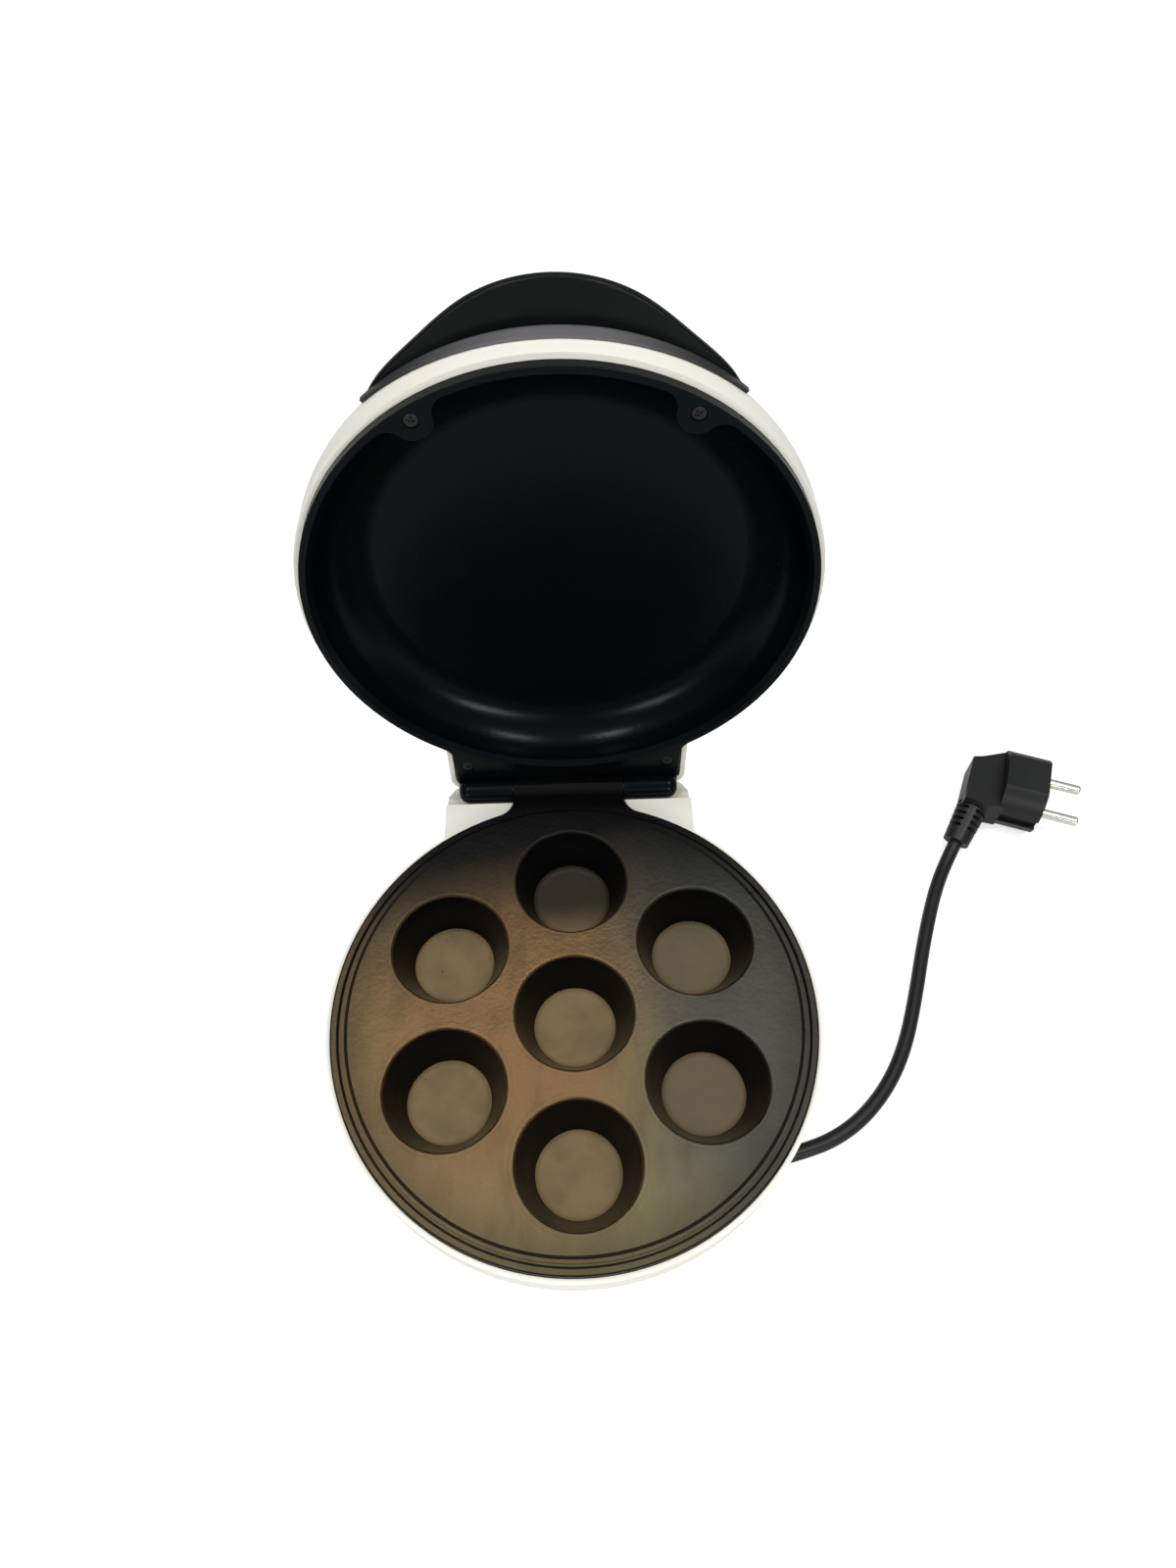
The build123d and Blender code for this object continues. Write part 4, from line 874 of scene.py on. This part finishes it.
@dataclass
class PowerCord:
    """The mains lead: wound under the base, then free to its plug.

    Its places are in millimetres, and its length is in metres.
    """

    radius: float = 3.25
    wind_z: float = 6.9
    wind_r: float = 48.8
    wind_step: float = 3.5
    half_turns: int = 3
    entry_r: float = 30.0
    gland_y: float = 11.8
    end_run: float = 7.0
    per_half: int = 8
    last_run: float = 9.5
    first_x: float = 34.0
    lie: Sequence[Point] = (
        (64, -52.8, 4.2),
        (92.6, -46.6, 3.4),
        (108.4, -41.8, 3.3),
        (122.8, -32.9, 3.3),
        (136.2, -19.2, 3.3),
        (146.6, -2.6, 3.3),
        (155.6, 19.6, 3.3),
        (165.4, 47.8, 3.3),
        (176.6, 74.9, 3.3),
    )
    relief_end: Point = (190.86, 98.64, 6.6)
    relief_way: Point = (-0.5127, -0.7994, -0.3122)
    length: float = 0.823

    def winding(self) -> list[Point]:
        """The winding's points, a little outside its line.

        Returns:
            Points in millimetres, in the base's own frame.
        """
        stride = 180 / self.per_half
        grow = 1 / math.cos(math.radians(stride / 2))
        start = self.gland_y + self.end_run
        points: list[Point] = [
            (self.entry_r, self.gland_y, self.wind_z),
            (self.entry_r, start, self.wind_z),
        ]
        for i in range(self.per_half // 2):
            a = math.radians((i + 0.5) * stride)
            r = self.entry_r * grow
            points.append((r * math.cos(a), start + r * math.sin(a), self.wind_z))
        for k in range(self.half_turns):
            r = (self.wind_r + k * self.wind_step) * grow
            middle = self.wind_step * (k % 2)
            for i in range(self.per_half):
                a = math.radians(90 + 180 * k + (i + 0.5) * stride)
                points.append((r * math.cos(a), middle + r * math.sin(a), self.wind_z))
        return points

    def route(self) -> list[Point]:
        """The whole route.

        Returns:
            Points in metres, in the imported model's frame.
        """
        outer = self.wind_r + (self.half_turns - 1) * self.wind_step
        points = self.winding()
        points.append((self.first_x, -outer, self.wind_z))
        points += list(self.lie)
        end = Vector(self.relief_end)
        points.append(tuple(end + Vector(self.relief_way) * self.last_run))
        points.append(tuple(end))
        return [(x * MM, (BASE_Y + y) * MM, z * MM) for x, y, z in points]

    def build(self) -> bpy.types.Object:
        """Returns:
            The cord.
        """
        points = self.route()
        data = bpy.data.curves.new("mains_cord", "CURVE")
        data.dimensions = "3D"
        data.bevel_depth = self.radius * MM
        data.bevel_resolution = 5
        data.resolution_u = 8
        data.use_fill_caps = True
        spline = data.splines.new("NURBS")
        spline.points.add(len(points) - 1)
        for place, point in zip(points, spline.points):
            point.co = (*place, 1.0)
        spline.order_u = 3
        spline.use_endpoint_u = True
        cord = bpy.data.objects.new("mains_cord", data)
        bpy.context.scene.collection.objects.link(cord)
        jacket = MouldedPlastic(
            "cord_jacket",
            (0.0050, 0.0056, 0.0048),
            rough=0.33,
            grain=0.0009,
            shine=0.30,
            dusty=0.03,
        )
        data.materials.append(jacket.material())
        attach(cord, Body.BASE.value)
        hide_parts("cord_winding", "power_cord")
        return cord


@dataclass
class LidFrame:
    """The open lid's own axes: across, back from its centre, and up from its rim."""

    hinge_y: float = 108.0
    hinge_z: float = 52.8
    rim_z: float = 55.4
    swing: float = 95.9

    def back(self) -> Vector:
        """The way from the handle to the hinge."""
        turn = math.radians(self.swing)
        return Vector((0, math.cos(turn), -math.sin(turn)))

    def up(self) -> Vector:
        """The way from the rim to the dome's top."""
        turn = math.radians(self.swing)
        return Vector((0, math.sin(turn), math.cos(turn)))

    def point(self, x: float, y: float, z: float) -> Vector:
        """A point of the lid.

        Args:
            x: Across, in millimetres.
            y: Back, in millimetres.
            z: Up, in millimetres.

        Returns:
            The point in metres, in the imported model's frame.
        """
        hinge = Vector((0, BASE_Y + self.hinge_y, self.hinge_z))
        centre = hinge - self.back() * self.hinge_y + self.up() * (self.rim_z - self.hinge_z)
        return (centre + Vector((x, 0, 0)) + self.back() * y + self.up() * z) * MM


def join(name: str, mesh: bmesh.types.BMesh, finish: Any, smooth: float = 35.0) -> bpy.types.Object:
    """Turns mesh data into a dressed object at the origin.

    Args:
        name: The piece's name.
        mesh: Its mesh, which is freed.
        finish: Its material.
        smooth: Edges sharper than this many degrees stay sharp.

    Returns:
        The object.
    """
    bmesh.ops.recalc_face_normals(mesh, faces=mesh.faces)
    for face in mesh.faces:
        face.smooth = True
    for edge in mesh.edges:
        if len(edge.link_faces) == 2 and edge.calc_face_angle(0.0) > math.radians(smooth):
            edge.smooth = False
    data = bpy.data.meshes.new(name)
    mesh.to_mesh(data)
    mesh.free()
    piece = bpy.data.objects.new(name, data)
    bpy.context.scene.collection.objects.link(piece)
    data.materials.append(finish)
    log.info("%s: %d faces", name, len(data.polygons))
    return piece


@dataclass
class HandleLip:
    """The lip that is the lid's handle, tapered off where it meets the dome."""

    frame: LidFrame = field(default_factory=LidFrame)
    taper_at: tuple[float, float] = (64.2, -76.9)
    taper_way: tuple[float, float] = (0.80, 0.60)
    weld: float = 1e-6

    def build(self, finish: bpy.types.Material) -> bpy.types.Object:
        """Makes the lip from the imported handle's surface.

        Args:
            finish: Its material.

        Returns:
            The lip.
        """
        mesh = bmesh.new()
        mesh.from_mesh(NODES["handle"].data)
        bmesh.ops.remove_doubles(mesh, verts=mesh.verts, dist=self.weld)
        for side in (-1, 1):
            at = self.frame.point(side * self.taper_at[0], self.taper_at[1], 0)
            way = Vector((side * self.taper_way[0], 0, 0)) + self.frame.back() * self.taper_way[1]
            cut = bmesh.ops.bisect_plane(
                mesh,
                geom=mesh.verts[:] + mesh.edges[:] + mesh.faces[:],
                plane_co=at,
                plane_no=way,
                clear_outer=True,
            )
            rim = [e for e in cut["geom_cut"] if isinstance(e, bmesh.types.BMEdge)]
            bmesh.ops.holes_fill(mesh, edges=rim, sides=0)
        lip = join("handle_lip", mesh, finish)
        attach(lip, Body.LID.value)
        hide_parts("handle")
        return lip


@dataclass
class CrossHeadScrews:
    """Black pan-head screws with a cross recess that hold the dish in the dome."""

    frame: LidFrame = field(default_factory=LidFrame)
    places: Sequence[tuple[float, float]] = ((-46.4, -80.5), (46.4, -80.5), (-45, 94), (45, 94))
    turned: Sequence[float] = (12.0, 58.0, 33.0, 71.0)
    radius: float = 2.68
    height: float = 1.55
    crown: float = 0.16
    edge: float = 0.5
    edge_drop: float = 0.35
    arm: float = 1.55
    arm_slope: float = 0.25
    slot: float = 0.34
    slot_slope: float = 0.12
    deep: float = 0.9
    shoaling: float = 0.45
    rings: int = 18
    spokes: int = 64

    def depth(self, x: float, y: float) -> float:
        """Depth of the head's face at a point.

        Args:
            x: Along one arm of the recess, in millimetres.
            y: Along the other arm, in millimetres.

        Returns:
            The depth below the head's top, in millimetres.
        """
        reach = math.hypot(x, y)
        drop = self.crown * (reach / self.radius) ** 2
        if reach > self.radius - self.edge:
            drop += self.edge_drop * ((reach - self.radius + self.edge) / self.edge) ** 2
        sink = 0.0
        for along, across in ((x, y), (y, x)):
            wall = min(1.0, max(0.0, (self.slot - abs(across)) / self.slot_slope + 0.5))
            end = min(1.0, max(0.0, (self.arm - abs(along)) / self.arm_slope))
            sink = max(sink, wall * end)
        return drop + sink * self.deep * (1 - self.shoaling * reach / self.arm)

    def build(self, finish: bpy.types.Material) -> bpy.types.Object:
        """Makes all the heads as one piece.

        Args:
            finish: Their material.

        Returns:
            The heads.
        """
        mesh = bmesh.new()
        for (x, y), turn in zip(self.places, self.turned):
            self._head(mesh, x, y, math.radians(turn))
        heads = join("cross_head_screws", mesh, finish, 50.0)
        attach(heads, Body.LID.value)
        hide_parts("lid_plate_screws")
        return heads

    def _head(self, mesh: bmesh.types.BMesh, x: float, y: float, turn: float) -> None:
        """Adds one head.

        Args:
            mesh: The mesh to add to.
            x: Its place across the lid.
            y: Its place back from the lid's centre.
            turn: How far its recess is turned, in radians.
        """
        angles = [2 * math.pi * j / self.spokes for j in range(self.spokes)]
        rows = []
        for i in range(1, self.rings + 1):
            r = self.radius * i / self.rings
            row = []
            for a in angles:
                u, v = r * math.cos(a - turn), r * math.sin(a - turn)
                at = self.frame.point(x + r * math.cos(a), y + r * math.sin(a), self.depth(u, v))
                row.append(mesh.verts.new(at))
            rows.append(row)
        middle = mesh.verts.new(self.frame.point(x, y, self.depth(0, 0)))
        foot = []
        for a in angles:
            at = (x + self.radius * math.cos(a), y + self.radius * math.sin(a), self.height)
            foot.append(mesh.verts.new(self.frame.point(*at)))
        rows.append(foot)
        for j in range(self.spokes):
            k = (j + 1) % self.spokes
            mesh.faces.new((middle, rows[0][j], rows[0][k]))
            for inner, outer in zip(rows, rows[1:]):
                mesh.faces.new((inner[j], outer[j], outer[k], inner[k]))
        mesh.faces.new(foot[::-1])


@dataclass
class Fittings:
    """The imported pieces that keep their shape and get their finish."""

    finishes: dict[str, Any] = field(default_factory=dict)

    def plan(self) -> dict[str, tuple[str, ...]]:
        """Which finish goes on which pieces.

        Returns:
            Node names by the finish's name.
        """
        return {
            "cream_shell": ("base_shell",),
            "cream_dome": ("lid_shell",),
            "nonstick_plate": ("baking_plate", "muffin_cups"),
            "dish_enamel": ("lid_plate",),
            "gloss_black": ("handle",),
            "black_screw": ("lid_plate_screws",),
            "matt_black": ("bottom_cover", "cord_gland", "lamp_holder"),
            "black_rubber": ("rubber_feet",),
            "plug_jacket": ("plug_body",),
            "nickel": ("plug_pins",),
            "zinc": ("plate_screws", "hinge_pin", "handle_screws"),
            "heater_sheath": ("lower_heating_element", "upper_heating_element"),
            "bright_sheet": ("lower_heat_shield", "upper_heat_shield", "fuse_strap"),
            "white_block": ("thermostat", "terminal_block"),
            "fuse_case": ("thermal_fuse",),
            "red_lens": ("power_lamp_lens",),
            "green_lens": ("ready_lamp_lens",),
        }

    def palette(self) -> Iterable[Any]:
        """The finishes.

        Returns:
            One finish for each name in the plan.
        """
        return (
            CreamShell(),
            CreamShell("cream_dome", way=LID_UP, rim=0.0712),
            NonStickPlate(),
            DishEnamel(),
            HandleGloss(),
            MouldedPlastic(
                "black_screw",
                (0.0030, 0.0030, 0.0032),
                rough=0.30,
                grain=0.0007,
                shine=0.30,
                dusty=0.05,
            ),
            MouldedPlastic(
                "matt_black",
                (0.012, 0.012, 0.0125),
                rough=0.48,
                grain=0.0005,
                depth=0.00003,
                shine=0.4,
            ),
            MouldedPlastic(
                "black_rubber",
                (0.014, 0.014, 0.014),
                rough=0.72,
                grain=0.0004,
                depth=0.00004,
                shine=0.3,
            ),
            MouldedPlastic(
                "plug_jacket",
                (0.0045, 0.0050, 0.0052),
                rough=0.34,
                grain=0.0008,
                depth=0.00004,
                shine=0.32,
                dusty=0.03,
            ),
            SheetMetal(
                "nickel",
                (0.80, 0.76, 0.68),
                rough=0.12,
                drawn=(0.4, 0.4, 0.4),
                tarnished=0.12,
                relief=0.000002,
            ),
            SheetMetal("zinc", (0.52, 0.51, 0.48), rough=0.30, tarnished=0.35),
            SheetMetal("heater_sheath", (0.20, 0.18, 0.165), rough=0.42, tarnished=0.5),
            SheetMetal("bright_sheet", (0.62, 0.62, 0.60), rough=0.24, drawn=(0.06, 1.0, 1.0)),
            MouldedPlastic(
                "white_block",
                (0.70, 0.68, 0.62),
                rough=0.55,
                grain=0.0008,
                depth=0.00003,
                shine=0.4,
            ),
            SheetMetal("fuse_case", (0.72, 0.70, 0.66), rough=0.35),
            LampLens("red_lens", (0.50, 0.02, 0.015)),
            LampLens("green_lens", (0.03, 0.30, 0.05)),
        )

    def build(self) -> dict[str, Any]:
        """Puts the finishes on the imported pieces.

        Returns:
            The materials by name, for the pieces that are made here.
        """
        for finish in self.palette():
            self.finishes[finish.name] = finish.material()
        for name, nodes in self.plan().items():
            for node in nodes:
                slots = NODES[node].data.materials
                slots.clear()
                slots.append(self.finishes[name])
                log.info("%s: %s", node, name)
        return self.finishes


def main() -> None:
    """Builds the scene."""
    logging.basicConfig(level=logging.INFO, format="%(name)s: %(message)s")
    studio = Studio()
    studio.camera()
    cord = PowerCord().build()
    log.info("%s: cord", cord.name)
    studio.build()
    finishes = Fittings().build()
    HandleLip().build(finishes["gloss_black"])
    CrossHeadScrews().build(finishes["black_screw"])


if __name__ == "__main__":
    main()
